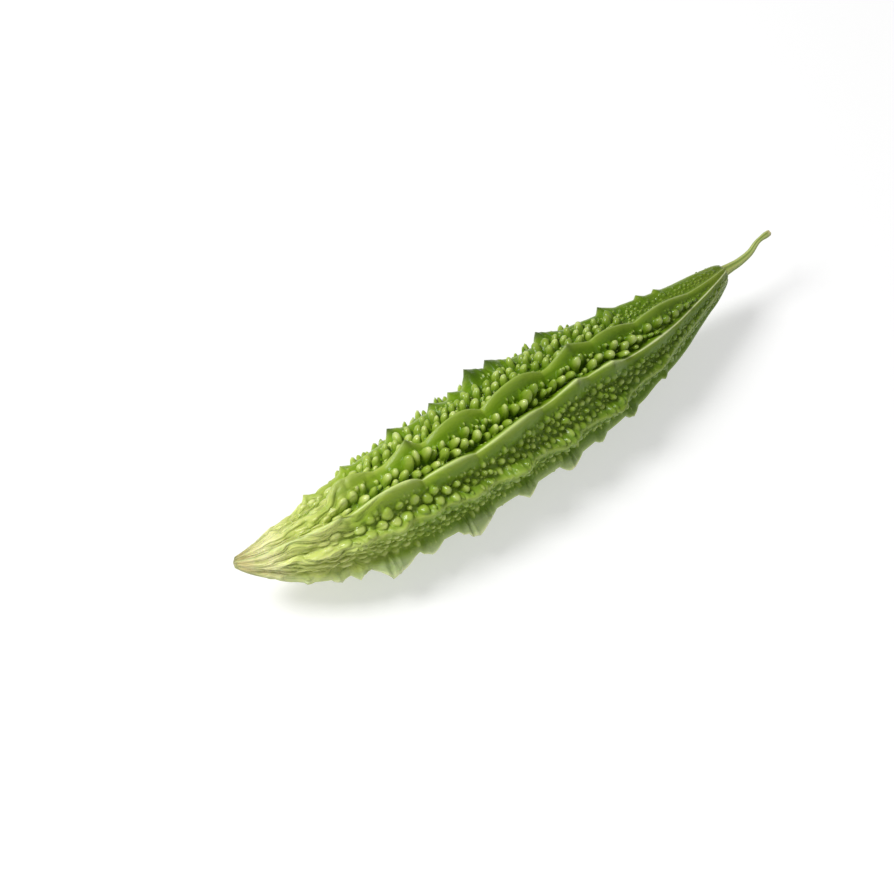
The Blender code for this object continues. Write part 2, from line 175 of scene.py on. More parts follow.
class Tree:
    """Writes nodes into a shader tree or a geometry tree."""

    COLOUR_MIX = {"factor": 0, "a": 6, "b": 7, "result": 2}

    def __init__(self, tree: bpy.types.NodeTree) -> None:
        """Takes an empty tree to write to."""
        self.tree = tree

    def node(self, kind: str, settings: dict[str, Any] | None = None,
             inputs: dict[Any, Any] | None = None) -> bpy.types.Node:
        """Adds a node.

        Args:
            kind: its type.
            settings: its properties, with a ramp's "stops" and a curve's "points" among them.
            inputs: values or links, by a socket's name or number.

        Returns:
            The node.
        """
        node = self.tree.nodes.new(kind)
        for name, value in (settings or {}).items():
            if name == "stops":
                self._set_stops(node.color_ramp, value)
            elif name == "points":
                self._set_points(node.mapping, value)
            else:
                setattr(node, name, value)
        for key, value in (inputs or {}).items():
            if isinstance(value, Value):
                self.tree.links.new(value.socket, node.inputs[key])
            else:
                node.inputs[key].default_value = value
        return node

    @staticmethod
    def _set_stops(ramp: bpy.types.ColorRamp, stops: Stops) -> None:
        """Gives a ramp its stops, as (place, colour)."""
        while len(ramp.elements) < len(stops):
            ramp.elements.new(1.0)
        for element, (place, colour) in zip(ramp.elements, stops):
            element.position = place
            element.color = (*colour, 1.0)

    @staticmethod
    def _set_points(mapping: bpy.types.CurveMapping, points: Sequence[Pair]) -> None:
        """Gives a curve its points, with places and heights from 0 to 1."""
        curve = mapping.curves[0]
        while len(curve.points) < len(points):
            curve.points.new(0.5, 0.5)
        for point, place in zip(curve.points, points):
            point.location = place
        mapping.update()

    def read(self, kind: str, settings: dict[str, Any] | None = None,
             inputs: dict[Any, Any] | None = None, output: Any = 0) -> Value:
        """Adds a node and gives one of its outputs."""
        return Value(self, self.node(kind, settings, inputs).outputs[output])

    def math(self, operation: str, a: Number, b: Number = 0.0, clamp: bool = False) -> Value:
        """Adds a Math node and gives its result."""
        return self.read("ShaderNodeMath", {"operation": operation, "use_clamp": clamp}, {0: a, 1: b})

    def vector(self, *parts: Number) -> Value:
        """Joins three numbers into a vector."""
        return self.read("ShaderNodeCombineXYZ", {}, dict(enumerate(parts)))

    def curve(self, points: Sequence[Pair], value: Value) -> Value:
        """Reads a smooth curve through points at a value from 0 to 1."""
        return self.read("ShaderNodeFloatCurve", {"points": points}, {"Value": value})

    def attribute(self, name: str) -> Value:
        """Reads a number kept on the mesh."""
        if self.tree.type == "GEOMETRY":
            kind = "GeometryNodeInputNamedAttribute"
            return self.read(kind, {"data_type": "FLOAT"}, {"Name": name}, "Attribute")
        return self.read("ShaderNodeAttribute", {"attribute_name": name}, output="Fac")

    def attributes(self, *names: str) -> list[Value]:
        """Reads some numbers kept on the mesh."""
        return [self.attribute(name) for name in names]

    def ramp(self, stops: Stops, value: Value) -> Value:
        """Reads a colour from a ramp."""
        return self.read("ShaderNodeValToRGB", {"stops": stops}, {"Fac": value})

    def blend(self, a: Value | Colour, b: Value | Colour, factor: Number, mode: str = "MIX") -> Value:
        """Mixes two colours.

        Args:
            a: the colour at factor 0.
            b: the colour at factor 1.
            factor: how much of b there is.
            mode: how they are mixed.

        Returns:
            The mixed colour.
        """
        a, b = (side if isinstance(side, Value) else (*side, 1.0) for side in (a, b))
        places = self.COLOUR_MIX
        return self.read("ShaderNodeMix", {"data_type": "RGBA", "blend_type": mode},
                         {places["factor"]: factor, places["a"]: a, places["b"]: b}, places["result"])

    def shade(self, colour: Value, other: Colour, factor: Number) -> Value:
        """Multiplies a colour by another as far as a factor says."""
        return self.blend(colour, other, factor, "MULTIPLY")

    def noise(self, place: Value, scale: float, detail: float = 2.0, roughness: float = 0.5) -> Value:
        """Reads smooth noise at a place."""
        inputs = {"Vector": place, "Scale": scale, "Detail": detail, "Roughness": roughness}
        return self.read("ShaderNodeTexNoise", {}, inputs)

    def bump(self, height: Value, distance: float, strength: float = 1.0,
             under: Value | None = None) -> Value:
        """Turns a height into a normal, over another bump if one is given."""
        inputs: dict[str, Any] = {"Height": height, "Distance": distance, "Strength": strength}
        if under is not None:
            inputs["Normal"] = under
        return self.read("ShaderNodeBump", {}, inputs)


class ShaderTree(Tree):
    """The node tree of a new material."""

    def __init__(self, name: str) -> None:
        """Makes the material."""
        self.material = bpy.data.materials.new(name)
        self.material.use_nodes = True
        super().__init__(self.material.node_tree)

    def place(self) -> Value:
        """Where a point of the object is."""
        return self.read("ShaderNodeTexCoord", output="Object")

    def finish(self, sockets: dict[str, Any]) -> bpy.types.Material:
        """Ends the tree.

        Args:
            sockets: what the shader's sockets get, as links or as plain values.

        Returns:
            The material.
        """
        shader = self.tree.nodes["Principled BSDF"]
        for name, value in sockets.items():
            if isinstance(value, Value):
                self.tree.links.new(value.socket, shader.inputs[name])
            else:
                shader.inputs[name].default_value = value
        return self.material


@dataclass(frozen=True)
class Body:
    """The plain fruit: a bowed axis, and the radius of the valley floor along it."""

    length: float = 212 * MM
    tip_x: float = -118 * MM
    axis_y: float = 11.6 * MM
    axis_height: float = 21.3 * MM
    bow: float = 12 * MM
    widest: float = 17.3 * MM
    radii: Profile = (
        (0, 1.2), (0.03, 4.5), (0.08, 8.8), (0.17, 13.3), (0.27, 16.2), (0.45, 17.3),
        (0.62, 16.9), (0.78, 12.9), (0.90, 7.9), (0.96, 5.6), (0.99, 3.8), (1, 2.6))
    bow_shape: Profile = (
        (0, 0), (0.08, 0.58), (0.17, 0.88), (0.28, 1), (0.5, 0.9), (0.75, 0.66), (0.9, 0.34), (1, 0))

    def radius(self, along: Any) -> np.ndarray:
        """Radius of the valley floor at places along the axis."""
        return smooth_through(self.radii, np.asarray(along) / self.length) * MM

    def share(self, along: Any) -> np.ndarray:
        """Places along the axis as shares of its length."""
        return np.asarray(along) / self.length


class Outline(Enum):
    """How full a blade looks from the side: below 1 it is hollow, and above 1 it is arched."""

    FIN = 0.82
    FLAP = 1.3
    ARCH = 1.9

    def height(self, away: np.ndarray) -> np.ndarray:
        """Height at a share of the way from the top, 0, to the foot, 1."""
        near = 1 - np.clip(away, 0, 1)
        return near ** (1 / self.value) if self.value < 1 else 1 - (1 - near) ** self.value


@dataclass(frozen=True)
class Blade:
    """A tooth or blade on a ridge: where its top is, how high, and how far it reaches to each side."""

    place: float
    height: float
    front: float
    back: float
    outline: Outline

    def profile(self, along: np.ndarray) -> np.ndarray:
        """Its height at places along the axis."""
        reach = np.where(along < self.place, self.front, self.back)
        return self.height * self.outline.height(np.abs(along - self.place) / reach)


@dataclass(frozen=True)
class Ridge:
    """One ridge: its crest's turn in degrees by share of the length, its two flanks' widths and its blades.

    The crest leans aside by a share of its height and has a pale vein of some strength, partly real and
    partly painted highlight, pleats run across the blades, and a share of the flanks is bare of warts. A tone
    below 0 paints shade on the blades, and one above 0 makes them pale, as paler skin with a painted glow of
    light through it. The blades are given in millimetres, as place, height, front and back. Those whose
    places are among the fins are hollow, with painted shade at the nose. With no blades, they are drawn.
    """

    turns: Profile
    below: float = 3.0 * MM
    above: float = 2.9 * MM
    keel: float = 1.0
    tone: float = 0.0
    outline: Outline = Outline.FIN
    blades: Sizes = ()
    fins: tuple[float, ...] = ()
    lean: float = 0.0
    pleats: float = 0.0
    bare: float = 1.0
    vein: float = 0.3


def long_backs(*tops: Pair) -> Sizes:
    """Blades with steep fronts and long backs, from the place and height of each."""
    return tuple((place, height, FRONT_REACH * height, BACK_REACH * height) for place, height in tops)


@dataclass(frozen=True)
class Ridges:
    """The ridges, numbered round from the lowest one in front: a keel all the way, with blades on it."""

    body: Body
    keel_height: float = 3.3 * MM
    keel_share: Profile = (
        (0, 0.12), (0.05, 0.4), (0.2, 0.85), (0.35, 1), (0.7, 1), (0.88, 0.6), (1, 0.12))
    width_share: Profile = (
        (0, 0.45), (0.12, 0.75), (0.3, 1), (0.65, 1), (0.85, 0.8), (0.95, 0.65), (1, 0.4))
    keel_shape: float = 1.5
    edge: float = 1.15
    drawn_height: float = 4.6 * MM
    drawn_share: Profile = (
        (0, 0), (0.1, 0.28), (0.2, 0.62), (0.35, 0.92), (0.6, 1), (0.78, 0.7), (0.9, 0.25), (1, 0))
    drawn_spread: Pair = (0.7, 1.12)
    drawn_pitch: float = 18.5 * MM
    pitch_spread: Pair = (0.72, 1.3)
    drawn_shift: Pair = (-0.2, 0.2)
    drawn_from: float = 17 * MM
    drawn_to: float = 190 * MM
    vein_width: float = 0.45 * MM
    vein_growth: float = 2.6 * MM
    pleat_pitch: float = 3.4 * MM
    pleat_sway: float = 2.2
    pleat_drift: float = 2.7
    pleat_full: float = 2.0 * MM
    nose_reach: float = 4.5 * MM
    rows: tuple[Ridge, ...] = (
        Ridge(((0, 28), (0.2, 33), (0.3, 30), (0.38, 23), (0.5, 17), (0.6, 13), (0.8, 14), (1, 18)),
              4.0 * MM, 2.6 * MM, 0.55, 0.5, Outline.FLAP,
              ((24, 1.4, 5, 5), (37, 2.8, 5, 5), (51, 3.4, 8, 4), (63, 2.6, 6, 5), (78, 3.0, 12, 8),
               (97, 4.6, 9, 7), (119, 3.6, 9, 6), (141, 3.6, 9, 7), (164, 1.8, 8, 9)),
              lean=0.1, pleats=0.45 * MM, bare=0.2, vein=0.3),
        Ridge(((0, 68), (0.15, 68), (0.24, 69), (0.33, 62), (0.42, 58), (0.55, 61), (0.64, 61), (0.73, 52),
               (0.85, 48), (1, 54)),
              4.8 * MM, 2.3 * MM, 0.7, 0.1, Outline.ARCH,
              ((33, 2.6, 26, 3.5), (57.5, 4.8, 20, 6.5), (76, 4.3, 12, 8.5), (101.5, 4.8, 17, 12),
               (128.5, 4.8, 11, 6), (144, 4.8, 9, 7), (167, 1.2, 10, 8)), (128.5, 144), lean=0.25,
              vein=0.7),
        Ridge(((0, 104), (0.18, 103), (0.3, 101), (0.42, 95), (0.55, 92), (0.65, 93), (0.75, 87), (0.85, 83),
               (0.93, 77), (1, 74)),
              5.0 * MM, 2.3 * MM, 0.7, -0.2, Outline.ARCH,
              ((38.5, 5.0, 5.5, 14), (66.5, 4.8, 10.5, 5), (87, 4.2, 14, 9), (111, 4.8, 15, 11),
               (134.5, 4.8, 10, 12), (152, 3.0, 9, 11), (176, 2.4, 12, 14)), (66.5, 134.5), lean=0.25,
              vein=0.35),
        Ridge(((0, 148), (0.3, 147), (0.5, 150), (0.64, 152), (0.75, 142), (0.9, 132), (1, 128)),
              5.5 * MM, 2.9 * MM, 0.9, -1.0, Outline.FIN,
              long_backs((29.5, 1.8), (46, 2.2), (68.5, 3.4), (87, 2.6), (95.5, 2.2), (105, 5.8),
                         (113.5, 4.6), (136, 4.2), (160.5, 2.6), (175.5, 1.4), (183, 1.2)),
              (68.5, 87, 105, 113.5, 136, 160.5), pleats=0.45 * MM, vein=0.3),
        Ridge(((0, 201), (0.4, 196), (0.8, 201), (1, 198)), tone=-0.6),
        Ridge(((0, 245.5), (0.25, 249.7), (0.4, 249.3), (0.6, 245.7), (0.75, 245.3), (1, 249.5))),
        Ridge(((0, 295), (0.25, 291.8), (0.4, 290), (0.6, 292.5), (0.75, 294.9), (1, 292.2)), tone=0.5),
        Ridge(((0, 344), (0.3, 345), (0.5, 343), (0.7, 345), (1, 342)),
              3.4 * MM, 3.2 * MM, 1.0, 1.0, Outline.FLAP,
              long_backs((20, 1.0), (28, 1.8), (34.5, 2.4), (44, 5.2), (58, 3.0), (75, 5.0), (98, 2.8),
                         (117, 3.2), (132, 1.8), (147, 2.0), (166, 1.0)),
              pleats=1.2 * MM, vein=1.2),
    )

    @property
    def count(self) -> int:
        """How many ridges there are."""
        return len(self.rows)

    def crest(self, ridge: int, along: Any) -> np.ndarray:
        """Turn of a ridge's crest, counted on past a full turn for ridges after the last."""
        turns = self.rows[ridge % self.count].turns
        return np.radians(smooth_through(turns, self.body.share(along))) + FULL_TURN * (ridge // self.count)

    def draw_blades(self, rng: np.random.Generator) -> list[list[Blade]]:
        """Gives each ridge its blades: those seen in front and on top, and drawn ones behind and below."""
        rows = []
        for number, ridge in enumerate(self.rows):
            row = []
            for place, *sizes in ridge.blades:
                outline = Outline.FIN if place in ridge.fins else ridge.outline
                row.append(Blade(place * MM, *(size * MM for size in sizes), outline))
            if not ridge.blades:
                shift = 0.5 * (number % 2) + rng.uniform(*self.drawn_shift)
                place = self.drawn_from + self.drawn_pitch * shift
                while place < self.drawn_to:
                    share = float(smooth_through(self.drawn_share, self.body.share(place)))
                    top = self.drawn_height * share * rng.uniform(*self.drawn_spread)
                    row.append(Blade(place, top, FRONT_REACH * top, BACK_REACH * top, ridge.outline))
                    place += self.drawn_pitch * rng.uniform(*self.pitch_spread)
            rows.append(row)
        return rows

    def aside(self, ridge: int, along: np.ndarray, turn: np.ndarray) -> tuple[np.ndarray, np.ndarray]:
        """Measures from a ridge's crest.

        Args:
            ridge: its number.
            along: places along the axis.
            turn: turns round it.

        Returns:
            The way round the body from the crest, and the flank's width there.
        """
        gap = (turn - self.crest(ridge, along) + math.pi) % FULL_TURN - math.pi
        row = self.rows[ridge % self.count]
        width = np.where(gap < 0, row.below, row.above)
        width = width * smooth_through(self.width_share, self.body.share(along))
        return np.abs(gap) * self.body.radius(along), width

    def relief(self, blades: Sequence[Sequence[Blade]], along: np.ndarray,
               turn: np.ndarray) -> dict[str, np.ndarray]:
        """Works out how the ridges stand over the valley floor.

        Args:
            blades: each ridge's blades.
            along: places along the axis.
            turn: turns round it.

        Returns:
            The height, how far it is shifted aside, how near a crest is from 0 to 1, the height that is
            blade, the tone of the ridge there, and how much of a pale vein with a painted highlight, or of
            painted shade at a nose, is there.
        """
        names = ("height", "shift", "keel", "blade", "tone", "vein", "nose")
        result = {name: np.zeros_like(along) for name in names}
        share = self.body.share(along)
        keel_top = self.keel_height * smooth_through(self.keel_share, share)
        for number, (ridge, row) in enumerate(zip(self.rows, blades)):
            way, width = self.aside(number, along, turn)
            flank = way / width
            near = np.clip(1 - flank, 0, 1)
            top = np.max([np.zeros_like(along), *(blade.profile(along) for blade in row)], axis=0)
            blade = top * np.clip(1 - flank**self.edge, 0, 1)
            height = np.clip(1 - flank**2, 0, 1) ** self.keel_shape * keel_top * ridge.keel + blade
            phase = FULL_TURN * along / self.pleat_pitch
            pleat = np.sin(phase + self.pleat_sway * np.sin(phase / self.pleat_drift))
            pleat = pleat * np.clip(blade / self.pleat_full, 0, 1)
            shift = ridge.lean * height + ridge.pleats * pleat
            highest = height > result["height"]
            nearest = near > result["keel"]
            result["shift"] = np.where(highest, shift, result["shift"])
            result["height"] = np.where(highest, height, result["height"])
            result["tone"] = np.where(nearest, ridge.tone, result["tone"])
            result["keel"] = np.where(nearest, near, result["keel"])
            result["blade"] = np.maximum(result["blade"], blade)
            # Painted shade at each fin's nose.
            for place in ridge.fins:
                nose = np.clip(1 - np.abs(along - place * MM) / self.nose_reach, 0, 1) * near
                result["nose"] = np.maximum(result["nose"], nose)
            # A pale vein along each crest: partly real vein, partly a painted highlight on the crest edge.
            line = np.clip(1 - way / (self.vein_width * (1 + top / self.vein_growth)), 0, 1)
            result["vein"] = np.maximum(result["vein"], ridge.vein * line)
        return result


@dataclass(frozen=True)
class WartForm:
    """A kind of wart.

    It has a radius and a height. Its foot keeps a share of the flank's width clear of each crest, and so many
    places are tried for it, from a start behind the wrinkled tip. Its rings are shares of its radius, each
    with as many points as it has sides.
    """

    radius: float
    height: float
    clearance: float
    tries: int
    start: float
    rings: tuple[float, ...]
    sides: int


class Wart(Enum):
    """The kinds of wart, largest first."""

    BUD = WartForm(1.65 * MM, 5.6 * MM, 0.5, 14000, 37 * MM, (0.3, 0.58, 0.82, 1.0), 8)
    BEAD = WartForm(1.25 * MM, 3.4 * MM, 0.5, 12000, 27 * MM, (0.36, 0.72, 1.0), 7)
    PEARL = WartForm(0.82 * MM, 1.8 * MM, 0.5, 12000, 21 * MM, (0.5, 1.0), 6)
    GRAIN = WartForm(0.5 * MM, 0.7 * MM, 0.4, 9000, 40 * MM, (0.6, 1.0), 5)


@dataclass(frozen=True)
class WartRows:
    """All warts of a fruit, one row each."""

    along: np.ndarray
    turn: np.ndarray
    radius: np.ndarray
    height: np.ndarray
    tint: np.ndarray
    peak: np.ndarray
    narrow: np.ndarray
    lean_along: np.ndarray
    lean_round: np.ndarray
    kind: np.ndarray


@dataclass(frozen=True)
class WartSower:
    """Sows warts over the valleys, none too near another or a crest.

    A spread is the least share of a measure, and how much a draw may add to it. Some valleys have no warts
    larger than a kind, from a share of the length on, some have low warts, and in some the warts hardly stand
    out from their ground.
    """

    body: Body
    ridges: Ridges
    spacing: float = 0.93
    end: float = 208 * MM
    size_share: Profile = (
        (0, 0.6), (0.12, 0.7), (0.2, 0.9), (0.3, 1), (0.65, 1), (0.85, 0.72), (1, 0.45))
    height_share: Profile = (
        (0, 0.1), (0.12, 0.3), (0.2, 0.66), (0.3, 0.95), (0.45, 1), (0.68, 0.92), (0.85, 0.5),
        (1, 0.15))
    stretch_share: Profile = (
        (0, 2.6), (0.1, 2.6), (0.15, 2), (0.2, 1.3), (0.26, 1.08), (0.75, 1.1), (1, 1.6))
    radius_spread: Pair = (0.82, 0.38)
    height_spread: Pair = (0.72, 0.5)
    lean: float = 0.16
    upright: float = 0.4
    foot: float = 0.85
    narrowest: float = 0.78
    small_valleys: tuple[tuple[int, float, int], ...] = (
        (0, 0.36, 1), (2, 0.76, 2), (3, 0.7, 2), (7, 0.1, 1))
    low_valleys: Profile = ((0, 0.56), (2, 0.62), (6, 0.5), (7, 0.4))
    calm_valleys: tuple[int, ...] = (0, 7)
    steps: int = 400

    def stretch(self, along: Any) -> np.ndarray:
        """How much longer than wide a wart is."""
        return smooth_through(self.stretch_share, self.body.share(along))

    def worth(self, along: Any) -> np.ndarray:
        """Way along the axis, counted in steps that warts are one radius long in at any stretch."""
        steps = np.linspace(0, self.body.length, self.steps)
        worth = np.concatenate([[0], np.cumsum(np.diff(steps) / self.stretch(steps[1:]))])
        return np.interp(along, steps, worth)

    def spots(self, along: np.ndarray, turn: np.ndarray) -> np.ndarray:
        """Points where warts of any stretch are round, for measuring from one to another."""
        radius = self.body.radius(along)
        return np.column_stack([self.worth(along), radius * np.cos(turn), radius * np.sin(turn)])

    def crest_gap(self, along: np.ndarray, turn: np.ndarray, clearance: float) -> np.ndarray:
        """Least way to any crest, less a share of the flank's width there."""
        gaps = []
        for number, ridge in enumerate(self.ridges.rows):
            way, width = self.ridges.aside(number, along, turn)
            gaps.append(way - clearance * ridge.bare * width)
        return np.min(gaps, axis=0)

    def in_valley(self, ridge: int, along: np.ndarray, turn: np.ndarray) -> np.ndarray:
        """Whether places lie between a ridge and the next."""
        low = self.ridges.crest(ridge, along)
        return (turn - low) % FULL_TURN < self.ridges.crest(ridge + 1, along) - low

    def calm(self, along: np.ndarray, turn: np.ndarray) -> np.ndarray:
        """1 in the valleys whose warts hardly stand out from their ground, and 0 elsewhere."""
        return np.any([self.in_valley(ridge, along, turn) for ridge in self.calm_valleys], axis=0) * 1.0

    def too_large(self, number: int, along: np.ndarray, turn: np.ndarray) -> np.ndarray:
        """Where a kind of wart is larger than a valley's largest, from some share of the length on."""
        share = self.body.share(along)
        return np.any([self.in_valley(ridge, along, turn) & (share > start) & (number < largest)
                       for ridge, start, largest in self.small_valleys], axis=0)

    def sow(self, rng: np.random.Generator) -> WartRows:
        """Draws every wart, the largest kind first.

        Args:
            rng: where the draws come from.

        Returns:
            The warts that found a place.
        """
        taken = np.empty((0, 4))
        rows = []
        for number, kind in enumerate(Wart):
            form = kind.value
            along = rng.uniform(form.start, self.end, form.tries)
            turn = rng.uniform(0, FULL_TURN, form.tries)
            jitter = rng.uniform(0, 1, (7, form.tries))
            share = self.body.share(along)
            shrink = smooth_through(self.size_share, share)
            (least_radius, more_radius), (least_height, more_height) = self.radius_spread, self.height_spread
            radius = form.radius * shrink * (least_radius + more_radius * jitter[0])
            height = form.height * smooth_through(self.height_share, share)
            height = height * (least_height + more_height * jitter[1])
            for ridge, low in self.low_valleys:
                height = np.where(self.in_valley(ridge, along, turn), height * low, height)
            spots = np.column_stack([self.spots(along, turn), radius])
            fits = self.crest_gap(along, turn, form.clearance) > self.foot * radius
            fits &= ~self.too_large(number, along, turn)
            for i in np.flatnonzero(fits):
                apart = np.linalg.norm(taken[:, :3] - spots[i, :3], axis=1)
                if np.all(apart > self.spacing * (taken[:, 3] + radius[i])):
                    taken = np.vstack([taken, spots[i]])
                    lean = (self.lean * (self.upright + 2 * jitter[3, i]), self.lean * (2 * jitter[4, i] - 1))
                    looks = (jitter[2, i], jitter[5, i], self.narrowest + (1 - self.narrowest) * jitter[6, i])
                    rows.append((along[i], turn[i], radius[i], height[i], *looks, *lean, number))
        return WartRows(*np.array(rows).T)


class SheetPoints:
    """Points of the flat skin, with what is known of each."""

    FIELDS = ("along", "turn", "wart_share", "wart_rise", "way_along", "way_round",
              "lean_along", "lean_round", "tint", "peak")
    PLAIN = {"wart_share": 1.0, "tint": 0.5}

    def __init__(self) -> None:
        """Starts with no points."""
        self.rows: list[np.ndarray] = []

    def add(self, **columns: Any) -> None:
        """Adds points. Columns that aren't given say that no wart is there."""
        count = len(columns["along"])
        columns = {name: columns.get(name, self.PLAIN.get(name, 0.0)) for name in self.FIELDS}
        self.rows.append(np.column_stack([np.broadcast_to(columns[name], count) for name in self.FIELDS]))

    def table(self) -> np.ndarray:
        """All points, one row each."""
        return np.vstack(self.rows)


class FlatSkin:
    """Lays the skin flat in strips, from one crest to the next, and joins its points into triangles."""

    CREST_STEP = 0.72 * MM
    LEAST_STEP = 0.25 * MM
    TIP_RING = 0.5 * MM
    KEEL_LINES = (0.45 * MM, 0.95 * MM, 1.5 * MM, 2.1 * MM, 2.8 * MM, 3.6 * MM, 4.4 * MM)
    STRIP_SHARE = 0.44
    WART_MARGIN = 1.08
    FARTHEST_WART = 6 * MM
    FILL_STEP = 0.85 * MM
    FILL_GAP = 0.5 * MM
    FILL_START = 1.2 * MM
    FILL_END = 0.4 * MM
    FILL_JITTER = 0.2
    TIP_LENGTH = 44 * MM
    TIP_FINENESS = 0.62
    LONGEST_STEP = 2.2

    def __init__(self, body: Body, ridges: Ridges, blades: list[list[Blade]], sower: WartSower,
                 warts: WartRows, rng: np.random.Generator) -> None:
        """Takes the rules that the skin follows."""
        self.body = body
        self.ridges = ridges
        self.blades = blades
        self.sower = sower
        self.warts = warts
        self.rng = rng

    def crest_places(self, row: Sequence[Blade]) -> np.ndarray:
        """Places along a crest that have points: every blade's top and feet, and evenly between."""
        marks = [self.TIP_RING, self.body.length]
        for blade in row:
            marks += [blade.place - blade.front, blade.place, blade.place + blade.back]
        marks = sorted(marks)
        marks = [a for a, b in zip(marks, [*marks[1:], math.inf]) if b - a > self.LEAST_STEP]
        places = []
        for start, end in zip(marks, marks[1:]):
            step = self.CREST_STEP * self.fineness(start) * self.step_stretch(start)
            parts = max(1, round((end - start) / step))
            places += [start + (end - start) * i / parts for i in range(parts)]
        return np.array([*places, self.body.length])

    def fineness(self, along: float) -> float:
        """How much shorter steps are in the wrinkled tip than elsewhere."""
        return self.TIP_FINENESS if along < self.TIP_LENGTH else 1.0

    def step_stretch(self, along: float) -> float:
        """How much longer than wide the spaces between points are."""
        return min(float(self.sower.stretch(along)), self.LONGEST_STEP)

    def middle(self, ridge: int, along: Any) -> np.ndarray:
        """Turn halfway between a crest and the next."""
        return (self.ridges.crest(ridge, along) + self.ridges.crest(ridge + 1, along)) / 2

    def flat(self, ridge: int, along: Any, turn: Any) -> np.ndarray:
        """Points of a strip laid flat, in millimetres, with every wart round."""
        aside = (turn - self.middle(ridge, along)) * self.body.radius(along)
        return np.stack([self.sower.worth(along), aside], axis=-1) / MM

    def strip_warts(self, ridge: int) -> tuple[np.ndarray, np.ndarray]:
        """Which warts a strip has, and their turns counted on from its first crest."""
        low = self.ridges.crest(ridge, self.warts.along)
        turn = low + (self.warts.turn - low) % FULL_TURN
        mine = np.flatnonzero(turn < self.ridges.crest(ridge + 1, self.warts.along))
        return mine, turn[mine]

    def add_warts(self, points: SheetPoints, mine: np.ndarray, turns: np.ndarray) -> None:
        """Adds the tops and rings of a strip's warts, leaving out feet that lie in another wart."""
        warts = self.warts
        spots = self.sower.spots(warts.along[mine], turns)
        for i, turn in zip(mine, turns):
            form = list(Wart)[int(warts.kind[i])].value
            along, radius = warts.along[i], warts.radius[i]
            stretch = float(self.sower.stretch(along))
            common = {
                "wart_rise": warts.height[i],
                "lean_along": warts.lean_along[i],
                "lean_round": warts.lean_round[i],
                "tint": warts.tint[i],
                "peak": warts.peak[i],
            }
            points.add(along=[along], turn=turn, wart_share=0.0, **common)
            phase = self.rng.uniform(0, 1)
            for number, share in enumerate(form.rings):
                angles = FULL_TURN * (np.arange(form.sides) + phase + number / 2) / form.sides
                way_along = share * radius * stretch * np.cos(angles)
                way_round = share * radius * warts.narrow[i] * np.sin(angles)
                ring_along = along + way_along
                ring_turn = turn + way_round / self.body.radius(along)
                keep = np.ones(len(angles), bool)
                if share == form.rings[-1]:
                    others = np.delete(np.arange(len(mine)), np.flatnonzero(mine == i))
                    there = self.sower.spots(ring_along, ring_turn)
                    apart = np.linalg.norm(there[:, None] - spots[None, others], axis=2)
                    keep = (apart > warts.radius[mine][others]).all(axis=1)
                points.add(along=ring_along[keep], turn=ring_turn[keep], wart_share=share,
                           way_along=way_along[keep], way_round=way_round[keep], **common)

    def clear_of_warts(self, along: np.ndarray, turn: np.ndarray, mine: np.ndarray,
                       turns: np.ndarray) -> np.ndarray:
        """Which points lie outside every wart of a strip."""
        spots = self.sower.spots(self.warts.along[mine], turns)
        reach = self.warts.radius[mine] * self.WART_MARGIN
        there = self.sower.spots(along, turn)
        clear = np.ones(len(along), bool)
        order = np.argsort(self.warts.along[mine])
        near = self.warts.along[mine][order]
        for i, place in enumerate(along):
            low, high = np.searchsorted(near, (place - self.FARTHEST_WART, place + self.FARTHEST_WART))
            some = order[low:high]
            clear[i] = (np.linalg.norm(spots[some] - there[i], axis=1) > reach[some]).all()
        return clear

    def add_keels(self, points: SheetPoints, ridge: int, crests: list[np.ndarray], mine: np.ndarray,
                  turns: np.ndarray) -> None:
        """Adds lines of points beside a strip's two crests."""
        for side, number in ((1, ridge), (-1, ridge + 1)):
            inner = crests[number % self.ridges.count][1:-1]
            for line in self.KEEL_LINES:
                radius = self.body.radius(inner)
                fits = line < self.STRIP_SHARE * FULL_TURN / self.ridges.count * radius
                along = inner[fits]
                turn = self.ridges.crest(number, along) + side * line / radius[fits]
                clear = self.clear_of_warts(along, turn, mine, turns)
                points.add(along=along[clear], turn=turn[clear])

    def add_filling(self, points: SheetPoints, ridge: int, mine: np.ndarray, turns: np.ndarray) -> None:
        """Fills what is left of a strip with a loose grid."""
        place = self.FILL_START
        rows = []
        while place < self.body.length - self.FILL_END:
            step = self.FILL_STEP * self.fineness(place)
            low, high = self.ridges.crest(ridge, place), self.ridges.crest(ridge + 1, place)
            count = int((high - low) * self.body.radius(place) / step)
            if count > 1:
                rows += [(place, low + (high - low) * (i + 0.5) / count) for i in range(count)]
            place += step * self.step_stretch(place)
        grid = np.array(rows)
        spread = (-self.FILL_JITTER, self.FILL_JITTER, len(grid))
        grid[:, 0] += self.rng.uniform(*spread) * self.FILL_STEP
        grid[:, 1] += self.rng.uniform(*spread) * self.FILL_STEP / self.body.radius(grid[:, 0])
        grid = grid[self.clear_of_warts(grid[:, 0], grid[:, 1], mine, turns)]
        there = points.table()
        flat = self.flat(ridge, there[:, 0], there[:, 1])
        tree = kdtree.KDTree(len(flat))
        for i, place in enumerate(flat):
            tree.insert((*place, 0), i)
        tree.balance()
        new = self.flat(ridge, grid[:, 0], grid[:, 1])
        crest = np.minimum(*(self.ridges.aside(number, *grid.T)[0] for number in (ridge, ridge + 1)))
        gap = self.FILL_GAP * np.array([self.fineness(place) for place in grid[:, 0]])
        keep = (np.array([tree.find((*place, 0))[2] for place in new]) > gap / MM) & (crest > gap)
        points.add(along=grid[keep, 0], turn=grid[keep, 1])

